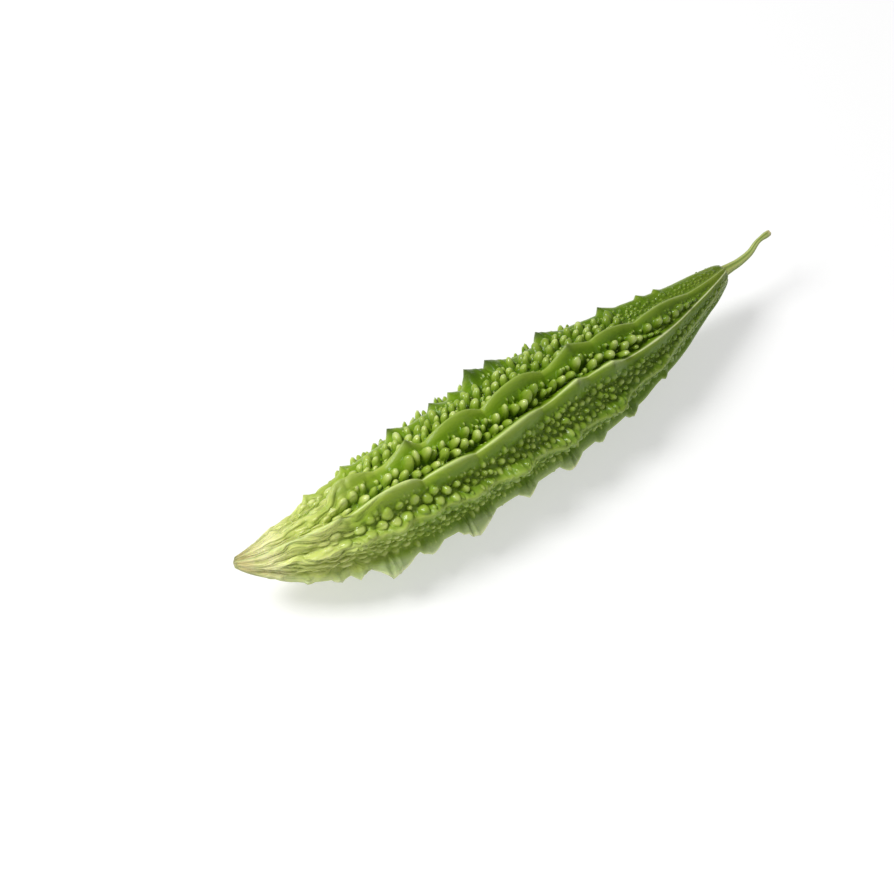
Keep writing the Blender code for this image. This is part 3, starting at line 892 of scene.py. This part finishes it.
    @staticmethod
    def triangles(flat: np.ndarray, border: list[int]) -> np.ndarray:
        """Joins flat points into triangles inside a border, all turned the same way.

        Args:
            flat: the points.
            border: the outline, as indices of points in order.

        Returns:
            Rows of three indices.
        """
        edges = list(zip(border, [*border[1:], *border[:1]]))
        found = geometry.delaunay_2d_cdt([Vector(p) for p in flat], edges, [], 1, 1e-6)
        first = np.array([sources[0] for sources in found[3]])
        faces = first[np.array(found[2])]
        a, b, c = (flat[faces[:, i]] for i in range(3))
        across = (b[:, 0] - a[:, 0]) * (c[:, 1] - a[:, 1]) - (b[:, 1] - a[:, 1]) * (c[:, 0] - a[:, 0])
        faces[across < 0] = faces[across < 0][:, ::-1]
        return faces

    def build(self) -> tuple[np.ndarray, np.ndarray]:
        """Lays every strip.

        Returns:
            The table of points, and the triangles as rows of three of its indices.
        """
        crests = [self.crest_places(row) for row in self.blades]
        points = SheetPoints()
        points.add(along=[0.0, self.body.length], turn=0.0)
        starts = []
        for ridge, places in enumerate(crests):
            starts.append(sum(len(rows) for rows in points.rows))
            points.add(along=places, turn=self.ridges.crest(ridge, places))
        faces = []
        end_reach = float(self.sower.worth(self.body.length) + self.body.radius(self.body.length))
        for ridge in range(self.ridges.count):
            following = (ridge + 1) % self.ridges.count
            left, right = crests[ridge], crests[following]
            mine, turns = self.strip_warts(ridge)
            inner = SheetPoints()
            self.add_warts(inner, mine, turns)
            self.add_keels(inner, ridge, crests, mine, turns)
            self.add_filling(inner, ridge, mine, turns)
            table = inner.table()
            flat = np.vstack([
                [[0, 0]],
                self.flat(ridge, left, self.ridges.crest(ridge, left)),
                [[end_reach / MM, 0]],
                self.flat(ridge, right, self.ridges.crest(ridge + 1, right))[::-1],
                self.flat(ridge, table[:, 0], table[:, 1]),
            ])
            base = sum(len(rows) for rows in points.rows)
            numbers = np.concatenate([
                [0], starts[ridge] + np.arange(len(left)),
                [1], (starts[following] + np.arange(len(right)))[::-1],
                base + np.arange(len(table)),
            ])
            points.rows.append(table)
            faces.append(numbers[self.triangles(flat, list(range(len(flat) - len(table))))])
        return points.table(), np.vstack(faces)


class GeometryTree(Tree):
    """A Geometry Nodes tree with named inputs, for one modifier."""

    def __init__(self, name: str) -> None:
        """Makes the tree with its geometry going in and out."""
        super().__init__(bpy.data.node_groups.new(name, "GeometryNodeTree"))
        self.tree.interface.new_socket("Geometry", in_out="INPUT", socket_type="NodeSocketGeometry")
        self.tree.interface.new_socket("Geometry", in_out="OUTPUT", socket_type="NodeSocketGeometry")
        self.values: dict[str, Any] = {}
        self.entry = self.tree.nodes.new("NodeGroupInput")

    def input(self, name: str, value: Any, kind: str = "NodeSocketFloat") -> Value:
        """Adds a named input, and keeps the value that the modifier gives it."""
        socket = self.tree.interface.new_socket(name, in_out="INPUT", socket_type=kind)
        self.values[socket.identifier] = value
        return Value(self, self.entry.outputs[name])

    def geometry(self) -> Value:
        """What goes in."""
        return Value(self, self.entry.outputs["Geometry"])

    def keep(self, shape: Value, name: str, value: Value) -> Value:
        """Stores a number on each point and returns the geometry."""
        settings = {"data_type": "FLOAT", "domain": "POINT"}
        node = self.node("GeometryNodeStoreNamedAttribute", settings, {"Geometry": shape, "Name": name})
        self.tree.links.new(value.socket, next(s for s in node.inputs if s.name == "Value" and s.enabled))
        return Value(self, node.outputs[0])

    def place(self) -> Value:
        """Where each point is."""
        return self.read("GeometryNodeInputPosition")

    def moved(self, shape: Value, place: Value) -> Value:
        """Moves each point and returns the geometry."""
        return self.read("GeometryNodeSetPosition", {}, {"Geometry": shape, "Position": place})

    def close(self, shape: Value, material: bpy.types.Material) -> None:
        """Ends the tree: smooth shading, realized instances and the material."""
        smooth = self.read("GeometryNodeSetShadeSmooth", {}, {"Geometry": shape})
        real = self.read("GeometryNodeRealizeInstances", {}, {"Geometry": smooth})
        finish = self.input("Finish", material, "NodeSocketMaterial")
        done = self.read("GeometryNodeSetMaterial", {}, {"Geometry": real, "Material": finish})
        out = self.tree.nodes.new("NodeGroupOutput")
        self.tree.links.new(done.socket, out.inputs["Geometry"])

    def apply(self, obj: bpy.types.Object, name: str) -> bpy.types.Object:
        """Runs the tree on an object and keeps the result as a plain mesh.

        Args:
            obj: what goes in. It is removed.
            name: the name of the finished piece.

        Returns:
            The finished piece.
        """
        modifier = obj.modifiers.new(self.tree.name, "NODES")
        modifier.node_group = self.tree
        for identifier, value in self.values.items():
            modifier[identifier] = value
        depsgraph = bpy.context.evaluated_depsgraph_get()
        mesh = bpy.data.meshes.new_from_object(obj.evaluated_get(depsgraph), depsgraph=depsgraph)
        bpy.data.objects.remove(obj)
        mesh.name = name
        return add_object(name, mesh)


@dataclass(frozen=True)
class Strands:
    """The wavy strands of the blossom tip, read alike by the skin's shape and by its finish."""

    count: int = 11
    meander: float = 14.0
    waves_round: float = 2.6
    wave_share: float = 0.06
    fine_count: int = 35
    fine_meander: float = 2.0
    detail: float = 1.5

    def waves(self, tree: Tree, share: Value, cosine: Value, sine: Value) -> Value:
        """Smooth waves about zero, drawn out along the fruit."""
        rounds = (side * self.waves_round for side in (cosine, sine))
        return tree.noise(tree.vector(share * (1 / self.wave_share), *rounds), 1.0, self.detail) - 0.5

    def read(self, tree: Tree, turn: Value, waves: Value, count: int) -> Value:
        """How far up a strand a point is, from 0 in a crease to 1."""
        return tree.math("ABSOLUTE", tree.math("SINE", turn * float(count) + waves * self.meander))


@dataclass(frozen=True)
class SkinFinish:
    """Waxy green skin, pale at the blossom tip and darkest by the stalk, with pale wart tops under a painted
    highlight and painted shade in the creases.

    A pair says where a change starts and where it is complete.
    """

    strands: Strands
    along: Stops = (
        (0.0, (0.68, 0.60, 0.24)), (0.05, (0.86, 0.85, 0.40)), (0.12, (0.65, 0.72, 0.20)),
        (0.20, (0.32, 0.445, 0.045)), (0.32, (0.205, 0.33, 0.015)), (0.5, (0.172, 0.283, 0.010)),
        (0.75, (0.125, 0.22, 0.006)), (0.92, (0.112, 0.192, 0.004)), (1.0, (0.16, 0.22, 0.018)))
    # The warts' tops: paler skin with a painted highlight on it.
    tops: Stops = (
        (0.0, (0.87, 0.85, 0.46)), (0.12, (0.80, 0.84, 0.32)), (0.25, (0.55, 0.67, 0.12)),
        (0.5, (0.46, 0.59, 0.095)), (0.8, (0.36, 0.48, 0.065)), (1.0, (0.30, 0.40, 0.06)))
    patch_scale: float = 55.0
    patch_detail: float = 3.0
    patch_drift: float = 0.14
    calm_part: float = 0.75
    calm_end: Pair = (0.7, 0.88)

    # Painted shade: a deeper green multiplied into the valleys between the warts and into the tip's creases.
    crease_shade: Colour = (0.46, 0.59, 0.13)
    shade_relief: Pair = (0.0, 0.5)
    shade_keel: Pair = (0.02, 0.45)
    shade_share: Pair = (0.06, 0.24)
    calm_shade: float = 0.55
    tip_share: Pair = (0.0, 0.06)
    tip_end: Pair = (0.13, 0.26)
    strand_part: Pair = (0.0, 0.4)
    strand_shade: float = 0.5
    fine_part: Pair = (0.0, 0.5)
    fine_shade: float = 0.2
    # Painted shade on the ridges' flanks, darker away from the crest.
    flank: Colour = (0.80, 0.90, 0.40)
    flank_shade_foot: Pair = (0.05, 0.3)
    flank_shade_top: Pair = (0.45, 0.85)
    flank_shade_share: Pair = (0.1, 0.3)

    # How far the wart tops are lightened, as paler skin with a painted highlight.
    top_relief: Pair = (0.35, 1.0)
    top_light: float = 0.35
    top_spread: float = 0.55
    calm_top: float = 0.6
    calm_light: float = 0.12
    # Painted highlight along the crests.
    crest_highlight_keel: Pair = (0.6, 1.0)
    crest_highlight: float = 0.35
    # Painted highlight on the highest wart tops, over their paler skin.
    pale_highlit_kernel: Colour = (0.80, 0.86, 0.42)
    kernel_relief: Pair = (0.72, 1.0)
    kernel_tint: Pair = (0.1, 0.9)
    kernel_fade: float = 0.5
    kernel_light: float = 0.6
    calm_kernel: float = 0.45

    streak: Colour = (0.66, 0.78, 0.55)
    streak_shape: Triple = (0.3, 1.0, 1.0)
    streak_detail: float = 2.5
    streak_roughness: float = 0.6
    streak_scale: float = 420.0
    streak_part: Pair = (0.45, 0.75)
    streak_depth: float = 0.6

    # Painted shade on the blades of some ridges.
    blade_shade: Colour = (0.42, 0.48, 0.60)
    blade_shade_part: Pair = (0.15, 0.9)
    # The pale flaps: paler skin with a painted glow of light shining through them.
    pale_lit_through_blade: Colour = (0.55, 0.66, 0.31)
    pale_tone: Pair = (0.4, 1.0)
    pale_part: Pair = (0.15, 0.8)
    pale_keel: Pair = (0.2, 0.7)
    pale_foot: float = 0.6
    pale_end: Pair = (0.5, 0.8)
    lit_through_paleness: float = 0.8
    # Painted shade at the fins' noses, nearly black.
    nose: Colour = (0.035, 0.055, 0.012)
    nose_part: Pair = (0.45, 1.0)
    nose_depth: float = 0.65
    # Pale veins along the crests, partly real and partly a painted highlight; the pale one also paints a glow
    # of light through the flaps' edges.
    vein: Colour = (0.70, 0.82, 0.32)
    pale_vein_and_glow: Colour = (0.80, 0.87, 0.46)
    vein_part: Pair = (0.1, 1.0)
    vein_light: float = 0.6
    vein_patches: float = 0.8
    vein_stalk_end: float = 0.5
    stalk_end: Pair = (0.65, 0.8)
    flap_part: Pair = (0.02, 0.4)
    flap_end: Pair = (0.5, 0.75)
    plain_foot: float = 0.8

    roughness: float = 0.34
    roughness_drift: float = 0.16
    specular: float = 0.14
    coat: float = 0.42
    least_coat: float = 0.15
    calm_coat: float = 0.15
    coat_roughness: float = 0.1
    glow: float = 0.12
    glow_depth: float = 2.0 * MM
    glow_radius: Triple = (0.7, 1.0, 0.1)
    grain_scale: float = 600.0
    grain_height: float = 0.35
    strand_height: float = 0.9
    fine_height: float = 0.35
    strand_end: Pair = (0.14, 0.27)
    grain_depth: float = 0.8 * MM
    grain_strength: float = 0.8
    dimple_scale: float = 260.0
    dimple_depth: float = 0.35 * MM
    dimple_strength: float = 0.6

    def calm(self, tree: Tree) -> Value:
        """Where warts hardly stand out from their ground: some valleys, and the stalk's end."""
        calm, share = tree.attributes("calm", "share")
        return (calm * self.calm_part + share.between(*self.calm_end)).clipped()

    def streaks(self, tree: Tree, place: Value, scale: float) -> Value:
        """Reads noise that is drawn out along the fruit."""
        drawn = tree.read("ShaderNodeVectorMath", {"operation": "MULTIPLY"}, {0: place, 1: self.streak_shape})
        return tree.noise(drawn, scale, self.streak_detail, self.streak_roughness)

    def shaded_in_creases(self, tree: Tree, colour: Value, strand: Value, fine: Value) -> Value:
        """Paints shade into the valleys between the warts and the creases of the tip, and onto the flanks of
        the ridges.
        """
        share, relief, keel = tree.attributes("share", "relief", "keel")
        # Painted shade where the warts are low, away from the crests, and in the tip's creases.
        valley_shade = relief.until(*self.shade_relief) * keel.until(*self.shade_keel)
        valley_shade = valley_shade * share.between(*self.shade_share) * (1 - self.calm(tree) * self.calm_shade)
        lines = strand.until(*self.strand_part) * self.strand_shade
        lines = lines + fine.until(*self.fine_part) * self.fine_shade
        lines = lines * share.until(*self.tip_end) * share.between(*self.tip_share)
        colour = tree.shade(colour, self.crease_shade, (valley_shade + lines).clipped())
        # Painted shade on the ridges' flanks.
        flank = keel.between(*self.flank_shade_foot) * keel.until(*self.flank_shade_top)
        return tree.shade(colour, self.flank, flank * share.between(*self.flank_shade_share))

    def lightened(self, tree: Tree, colour: Value, along: Value) -> Value:
        """Lightens the tops of the warts, as paler skin under a painted highlight, paints a highlight along
        the crests, and lightens the calm places a little.
        """
        share, relief, keel, tint = tree.attributes("share", "relief", "keel", "tint")
        calm = self.calm(tree)
        # Pale wart tops with a painted highlight.
        tops = relief.between(*self.top_relief) * (self.top_light + tint * self.top_spread)
        light = tops * (1 - calm * self.calm_top) + calm * self.calm_light
        # Painted highlight along the crests.
        light = (light + keel.between(*self.crest_highlight_keel) * self.crest_highlight).clipped()
        colour = tree.blend(colour, tree.ramp(self.tops, along), light)
        # A painted highlight on the highest wart tops.
        pale_highlit_kernel = relief.between(*self.kernel_relief) * tint.between(*self.kernel_tint)
        pale_highlit_kernel = pale_highlit_kernel * (1 - share * self.kernel_fade) * (self.kernel_light - calm * self.calm_kernel)
        return tree.blend(colour, self.pale_highlit_kernel, pale_highlit_kernel)

    def bladed(self, tree: Tree, colour: Value) -> Value:
        """Paints shade on the blades of some ridges and at the noses of the fins, and makes the flaps pale,
        as paler skin with a painted glow of light through them.
        """
        share, keel, blade, tone, nose = tree.attributes("share", "keel", "blade", "tone", "nose")
        # Painted shade on the blades of ridges with a tone below 0.
        blade_shading = blade.between(*self.blade_shade_part) * (tone * -1).clipped()
        colour = tree.shade(colour, self.blade_shade, blade_shading)
        # Pale flaps: paler skin with a painted glow of light through them.
        pale_lit_through = (blade.between(*self.pale_part) + keel.between(*self.pale_keel) * self.pale_foot).clipped()
        pale_lit_through = pale_lit_through * tone.between(*self.pale_tone) * share.until(*self.pale_end) * self.lit_through_paleness
        colour = tree.blend(colour, self.pale_lit_through_blade, pale_lit_through)
        # Painted shade at the fins' noses.
        return tree.blend(colour, self.nose, nose.between(*self.nose_part) * self.nose_depth)

    def veined_and_highlit(self, tree: Tree, colour: Value, patches: Value) -> Value:
        """Draws the pale veins along the crests, partly real veins and partly a painted highlight on the
        crest edges, with none at the foot between pale flaps.
        """
        share, blade, tone, vein = tree.attributes("share", "blade", "tone", "vein")
        stalk_end = share.between(*self.stalk_end)
        line = self.vein_light + patches * self.vein_patches + stalk_end * self.vein_stalk_end
        line = line * vein.between(*self.vein_part)
        flap = blade.between(*self.flap_part) * share.until(*self.flap_end)
        line = line * (1 - tone.between(*self.pale_tone) * (1 - flap) * self.plain_foot)
        hue = tree.blend(self.vein, self.pale_vein_and_glow, (tone + stalk_end).clipped())
        return tree.blend(colour, hue, line.clipped())

    def make(self, name: str) -> bpy.types.Material:
        """Builds the material."""
        tree = ShaderTree(name)
        place = tree.place()
        share, relief, cosine, sine = tree.attributes("share", "relief", "cosine", "sine")
        strands = self.strands
        turn = tree.math("ARCTAN2", sine, cosine)
        waves = strands.waves(tree, share, cosine, sine)
        strand = strands.read(tree, turn, waves, strands.count)
        fine = strands.read(tree, turn, waves * strands.fine_meander, strands.fine_count)

        patches = tree.noise(place, self.patch_scale, self.patch_detail)
        along = (share + (patches - 0.5) * self.patch_drift).clipped()
        colour = self.shaded_in_creases(tree, tree.ramp(self.along, along), strand, fine)
        colour = self.lightened(tree, colour, along)
        streaks = self.streaks(tree, place, self.streak_scale).between(*self.streak_part)
        colour = tree.shade(colour, self.streak, streaks * self.streak_depth)
        colour = self.veined_and_highlit(tree, self.bladed(tree, colour), patches)

        dimples = tree.noise(place, self.dimple_scale)
        grain = self.streaks(tree, place, self.grain_scale) * self.grain_height
        lines = (strand * self.strand_height + fine * self.fine_height) * share.until(*self.strand_end)
        normal = tree.bump(grain + lines, self.grain_depth, self.grain_strength)
        glossy = (relief + self.calm(tree) * self.calm_coat).clipped() * (1 - self.least_coat)
        return tree.finish({
            "Base Color": colour,
            "Roughness": self.roughness + (dimples - 0.5) * self.roughness_drift,
            "Coat Weight": self.coat * (self.least_coat + glossy),
            "Normal": tree.bump(dimples, self.dimple_depth, self.dimple_strength, normal),
            "Specular IOR Level": self.specular,
            "Subsurface Weight": self.glow,
            "Subsurface Radius": self.glow_radius,
            "Subsurface Scale": self.glow_depth,
            "Coat Roughness": self.coat_roughness,
        })


@dataclass(frozen=True)
class StalkFinish:
    """Matt pale green stalk, lighter along its ribs and dry at the cut."""

    rib: Colour = (0.44, 0.50, 0.15)
    groove: Colour = (0.24, 0.32, 0.06)
    groove_part: Pair = (0.2, 0.9)
    cut: Colour = (0.50, 0.46, 0.22)
    cut_share: Pair = (0.93, 0.99)
    streak_scale: float = 500.0
    streak_detail: float = 3.0
    streak_drift: float = 0.6
    streak_depth: float = 0.2 * MM
    streak_strength: float = 0.6
    roughness: float = 0.55
    glow: float = 0.1
    glow_depth: float = 1.0 * MM

    def make(self, name: str) -> bpy.types.Material:
        """Builds the material."""
        tree = ShaderTree(name)
        groove, share = tree.attributes("groove", "share")
        streaks = tree.noise(tree.place(), self.streak_scale, self.streak_detail)
        depth = groove.between(*self.groove_part) + (streaks - 0.5) * self.streak_drift
        colour = tree.blend(self.rib, self.groove, depth.clipped())
        return tree.finish({
            "Base Color": tree.blend(colour, self.cut, share.between(*self.cut_share)),
            "Normal": tree.bump(streaks, self.streak_depth, self.streak_strength),
            "Roughness": self.roughness,
            "Subsurface Weight": self.glow,
            "Subsurface Scale": self.glow_depth,
        })


@dataclass(frozen=True)
class Fruit:
    """The fruit: one closed skin, raised from its flat sheet by a Geometry Nodes tree."""

    body: Body
    ridges: Ridges
    sower: WartSower
    finish: SkinFinish
    blade_seed: int = 11
    wart_seed: int = 7
    rise_shape: Profile = ((0, 1), (0.3, 0.93), (0.58, 0.73), (0.82, 0.36), (1, 0))
    swell_shape: Profile = ((0, 1), (0.3, 1), (0.58, 0.8), (0.82, 0.35), (1, 0))
    swell: float = 0.66
    peak: float = 0.95
    blade_full: float = 4.0 * MM
    wrinkle_depth: float = 1.3 * MM
    wrinkle_share: Profile = (
        (0, 0.1), (0.03, 0.35), (0.07, 0.8), (0.12, 1), (0.18, 0.6), (0.25, 0.15), (0.34, 0.06), (1, 0.06))
    wrinkle_floor: float = 0.6
    wave_height: float = 1.1 * MM
    slope_step: float = 0.5 * MM

    def sheet(self) -> bpy.types.Object:
        """Lays the skin flat: x is the way along, y the turn and z the height over the valley floor."""
        blades = self.ridges.draw_blades(np.random.default_rng(self.blade_seed))
        rng = np.random.default_rng(self.wart_seed)
        warts = self.sower.sow(rng)
        LOG.info("sown %s warts of %s kinds", len(warts.along), len(Wart))
        skin = FlatSkin(self.body, self.ridges, blades, self.sower, warts, rng)
        table, faces = skin.build()
        along, turn = table[:, 0], table[:, 1]
        relief = self.ridges.relief(blades, along, turn)
        height = relief.pop("height")
        height[:2] = -self.body.radius(along[:2])
        mesh = bpy.data.meshes.new("flat_skin")
        mesh.from_pydata(np.column_stack([along, turn, height]).tolist(), [], faces.tolist())
        columns = {name: table[:, i] for i, name in enumerate(SheetPoints.FIELDS) if i > 1}
        columns |= relief | {"share": self.body.share(along), "blade": relief["blade"] / self.blade_full}
        columns |= {"cosine": np.cos(turn), "sine": np.sin(turn), "calm": self.sower.calm(along, turn)}
        for name, column in columns.items():
            layer = mesh.attributes.new(name, "FLOAT", "POINT")
            layer.data.foreach_set("value", column.astype(np.float32))
        LOG.info("laid out %s points and %s triangles", len(table), len(faces))
        return add_object("flat_skin", mesh)

    def tree(self, material: bpy.types.Material) -> GeometryTree:
        """Writes the tree that rolls the sheet round the axis and raises the warts."""
        tree = GeometryTree("roll_and_raise")
        length = tree.input("Length", self.body.length)
        tip_x = tree.input("Tip X", self.body.tip_x)
        axis_y = tree.input("Axis Y", self.body.axis_y)
        axis_height = tree.input("Axis Height", self.body.axis_height)
        bow = tree.input("Bow", self.body.bow)
        widest = tree.input("Widest Radius", self.body.widest)
        swell = tree.input("Wart Swell", self.swell)
        depth = tree.input("Wrinkle Depth", self.wrinkle_depth)
        wave_height = tree.input("Wave Height", self.wave_height)

        flat = tree.node("ShaderNodeSeparateXYZ", {}, {0: tree.place()})
        along, turn, lift = (Value(tree, socket) for socket in flat.outputs)
        share = along / length
        step = self.slope_step / self.body.length
        bend = tree.curve(self.body.bow_shape, share)
        rise = tree.curve(self.body.bow_shape, share + step) - tree.curve(self.body.bow_shape, share - step)
        slope = rise * bow / (length * (-2 * step))
        unit = (slope * slope + 1) ** -0.5
        radii = tuple((at, radius * MM / self.body.widest) for at, radius in self.body.radii)
        radius = tree.curve(radii, share) * widest

        wart_share = tree.attribute("wart_share")
        relief = tree.curve(self.rise_shape, wart_share) ** (1 + tree.attribute("peak") * self.peak)
        wart = tree.attribute("wart_rise") * relief
        spread = tree.curve(self.swell_shape, wart_share) * swell
        bent = wart * relief
        way_along = tree.attribute("way_along") * spread + tree.attribute("lean_along") * bent
        way_round = tree.attribute("way_round") * spread + tree.attribute("lean_round") * bent
        way_round = way_round + tree.attribute("shift")

        cosine, sine = tree.math("COSINE", turn), tree.math("SINE", turn)
        strands = self.finish.strands
        waves = strands.waves(tree, share, cosine, sine)
        wrinkle = strands.read(tree, turn, waves, strands.count)
        wrinkles = (wrinkle - self.wrinkle_floor) * depth * tree.curve(self.wrinkle_share, share)
        reach = radius + lift + wart + wrinkles + waves * wave_height
        level = reach * cosine - way_round * sine
        x = tip_x + along + (level * slope + way_along) * unit
        y = axis_y - bow * bend + (way_along * slope - level) * unit
        z = axis_height + reach * sine + way_round * cosine
        moved = tree.moved(tree.geometry(), tree.vector(x, y, tree.math("MAXIMUM", z, 0.0)))
        tree.close(tree.keep(moved, "relief", relief), material)
        return tree

    def build(self) -> bpy.types.Object:
        """Makes the finished fruit."""
        return self.tree(self.finish.make("gourd_skin")).apply(self.sheet(), "gourd_fruit")


@dataclass(frozen=True)
class Stalk:
    """The stalk: a grooved section swept along its route, with a flared foot and a cut end."""

    body: Body
    finish: StalkFinish
    sunk: float = 0.6 * MM
    route: tuple[Triple, ...] = (
        (0, 0, 0), (4, 0, -0.1), (8.4, 0, 0), (13.6, 0.5, 0.9), (18.2, 1.7, 3.0), (23.8, 2.2, 3.4))
    radii: Profile = (
        (0, 2.6), (0.06, 2.3), (0.2, 1.9), (0.45, 1.5), (0.7, 1.15), (0.85, 1.0), (0.95, 1.25), (1, 1.15))
    points: int = 90
    sides: int = 40
    grooves: int = 5
    groove_depth: float = 0.22

    def spine(self) -> bpy.types.Object:
        """The route as a curve, with the stalk's radius at each point."""
        shares = np.linspace(0, 1, self.points)
        marks = np.linspace(0, 1, len(self.route))
        columns = [np.column_stack([marks, [p[i] for p in self.route]]) for i in range(3)]
        route = np.column_stack([smooth_through(column, shares) for column in columns]) * MM
        route += (self.body.tip_x + self.body.length, self.body.axis_y, self.body.axis_height)
        route[:, 0] += self.sunk * (shares - 1)
        curve = bpy.data.curves.new("stalk_spine", "CURVE")
        curve.dimensions = "3D"
        spline = curve.splines.new("POLY")
        spline.points.add(self.points - 1)
        for point, place, radius in zip(spline.points, route, smooth_through(self.radii, shares) * MM):
            point.co = (*place, 1)
            point.radius = radius
        return add_object("stalk_spine", curve)

    def tree(self, material: bpy.types.Material) -> GeometryTree:
        """Writes the tree that sweeps the grooved section."""
        tree = GeometryTree("sweep_stalk")
        sides = tree.input("Sides", self.sides, "NodeSocketInt")
        grooves = tree.input("Grooves", float(self.grooves))
        depth = tree.input("Groove Depth", self.groove_depth)
        ring = tree.read("GeometryNodeCurvePrimitiveCircle", {}, {"Resolution": sides, "Radius": 1.0})
        turn = tree.read("GeometryNodeSplineParameter", output="Factor") * FULL_TURN
        kept = tree.keep(ring, "groove", tree.math("COSINE", turn * grooves) * 0.5 + 0.5)
        inward = 1 - depth * tree.attribute("groove") ** 2
        scaled = tree.read("ShaderNodeVectorMath", {"operation": "SCALE"}, {0: tree.place(), "Scale": inward})
        share = tree.read("GeometryNodeSplineParameter", output="Factor")
        swept = tree.read("GeometryNodeCurveToMesh", {}, {
            "Curve": tree.keep(tree.geometry(), "share", share), "Profile Curve": tree.moved(kept, scaled),
            "Fill Caps": True, "Scale": tree.read("GeometryNodeInputRadius")})
        tree.close(swept, material)
        return tree

    def build(self) -> bpy.types.Object:
        """Makes the finished stalk."""
        return self.tree(self.finish.make("gourd_stalk_skin")).apply(self.spine(), "gourd_stalk")


@dataclass(frozen=True)
class SoftBox:
    """A square lamp that looks at a point."""

    name: str
    place: Triple
    size: float
    power: float


@dataclass(frozen=True)
class Studio:
    """A white table, soft lamps and the camera."""

    lens: float = 100.0
    clip_start: float = 0.05
    camera_place: Triple = (-0.32183581, -0.38949208, 0.72325568)
    camera_back: Triple = (-0.33782597, -0.46353376, 0.81915204)
    floor_size: float = 8.0
    floor_white: Colour = (0.55, 0.55, 0.55)
    floor_roughness: float = 0.7
    floor_specular: float = 0.2
    floor_glow: float = 0.5
    white: Colour = (1.0, 1.0, 1.0)
    sky_strength: float = 0.22
    lamps: tuple[SoftBox, ...] = (
        SoftBox("key_lamp", (-0.7, 0.5, 1.25), 0.6, 21.0),
        SoftBox("fill_lamp", (0.5, -1.0, 0.9), 1.0, 2.5),
    )

    def camera(self) -> None:
        """Places the camera."""
        data = bpy.data.cameras.new("camera")
        data.lens = self.lens
        data.clip_start = self.clip_start
        camera = add_object("camera", data)
        aim(camera, self.camera_place, self.camera_back)
        bpy.context.scene.camera = camera

    def lights(self) -> None:
        """Places the lamps and the white surroundings."""
        for box in self.lamps:
            data = bpy.data.lights.new(box.name, "AREA")
            data.size = box.size
            data.energy = box.power
            aim(add_object(box.name, data), box.place, box.place)
        world = bpy.data.worlds.new("studio")
        world.use_nodes = True
        sky = world.node_tree.nodes["Background"]
        sky.inputs["Color"].default_value = (*self.white, 1.0)
        sky.inputs["Strength"].default_value = self.sky_strength
        bpy.context.scene.world = world
        bpy.context.scene.view_settings.view_transform = "Standard"

    def table(self) -> None:
        """Lays the white table top."""
        half = self.floor_size / 2
        mesh = bpy.data.meshes.new("table_top")
        corner_points = [(-half, -half, 0), (half, -half, 0), (half, half, 0), (-half, half, 0)]
        mesh.from_pydata(corner_points, [], [(0, 1, 2, 3)])
        mesh.materials.append(ShaderTree("table_white").finish({
            "Base Color": (*self.floor_white, 1.0),
            "Roughness": self.floor_roughness,
            "Specular IOR Level": self.floor_specular,
            "Emission Color": (*self.white, 1.0),
            "Emission Strength": self.floor_glow,
        }))
        top = add_object("table_top", mesh)


def clear_scene() -> None:
    """Removes what a new file holds."""
    for obj in list(bpy.data.objects):
        bpy.data.objects.remove(obj)


def dress(piece: bpy.types.Object, node: str) -> None:
    """Lets a finished piece stand for its solid."""
    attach(piece, BODY_NAME)
    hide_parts(node)
    LOG.info("%s: %s triangles", piece.name, sum(len(p.vertices) - 2 for p in piece.data.polygons))


def main() -> None:
    """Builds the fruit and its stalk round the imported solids, and the studio round both."""
    logging.basicConfig(level=logging.INFO, format="%(name)s: %(message)s")
    clear_scene()
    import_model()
    studio = Studio()
    studio.camera()
    studio.lights()
    studio.table()
    body = Body()
    ridges = Ridges(body)
    sower = WartSower(body, ridges)
    dress(Fruit(body, ridges, sower, SkinFinish(Strands())).build(), "fruit")
    dress(Stalk(body, StalkFinish()).build(), "stalk")


if __name__ == "__main__":
    main()
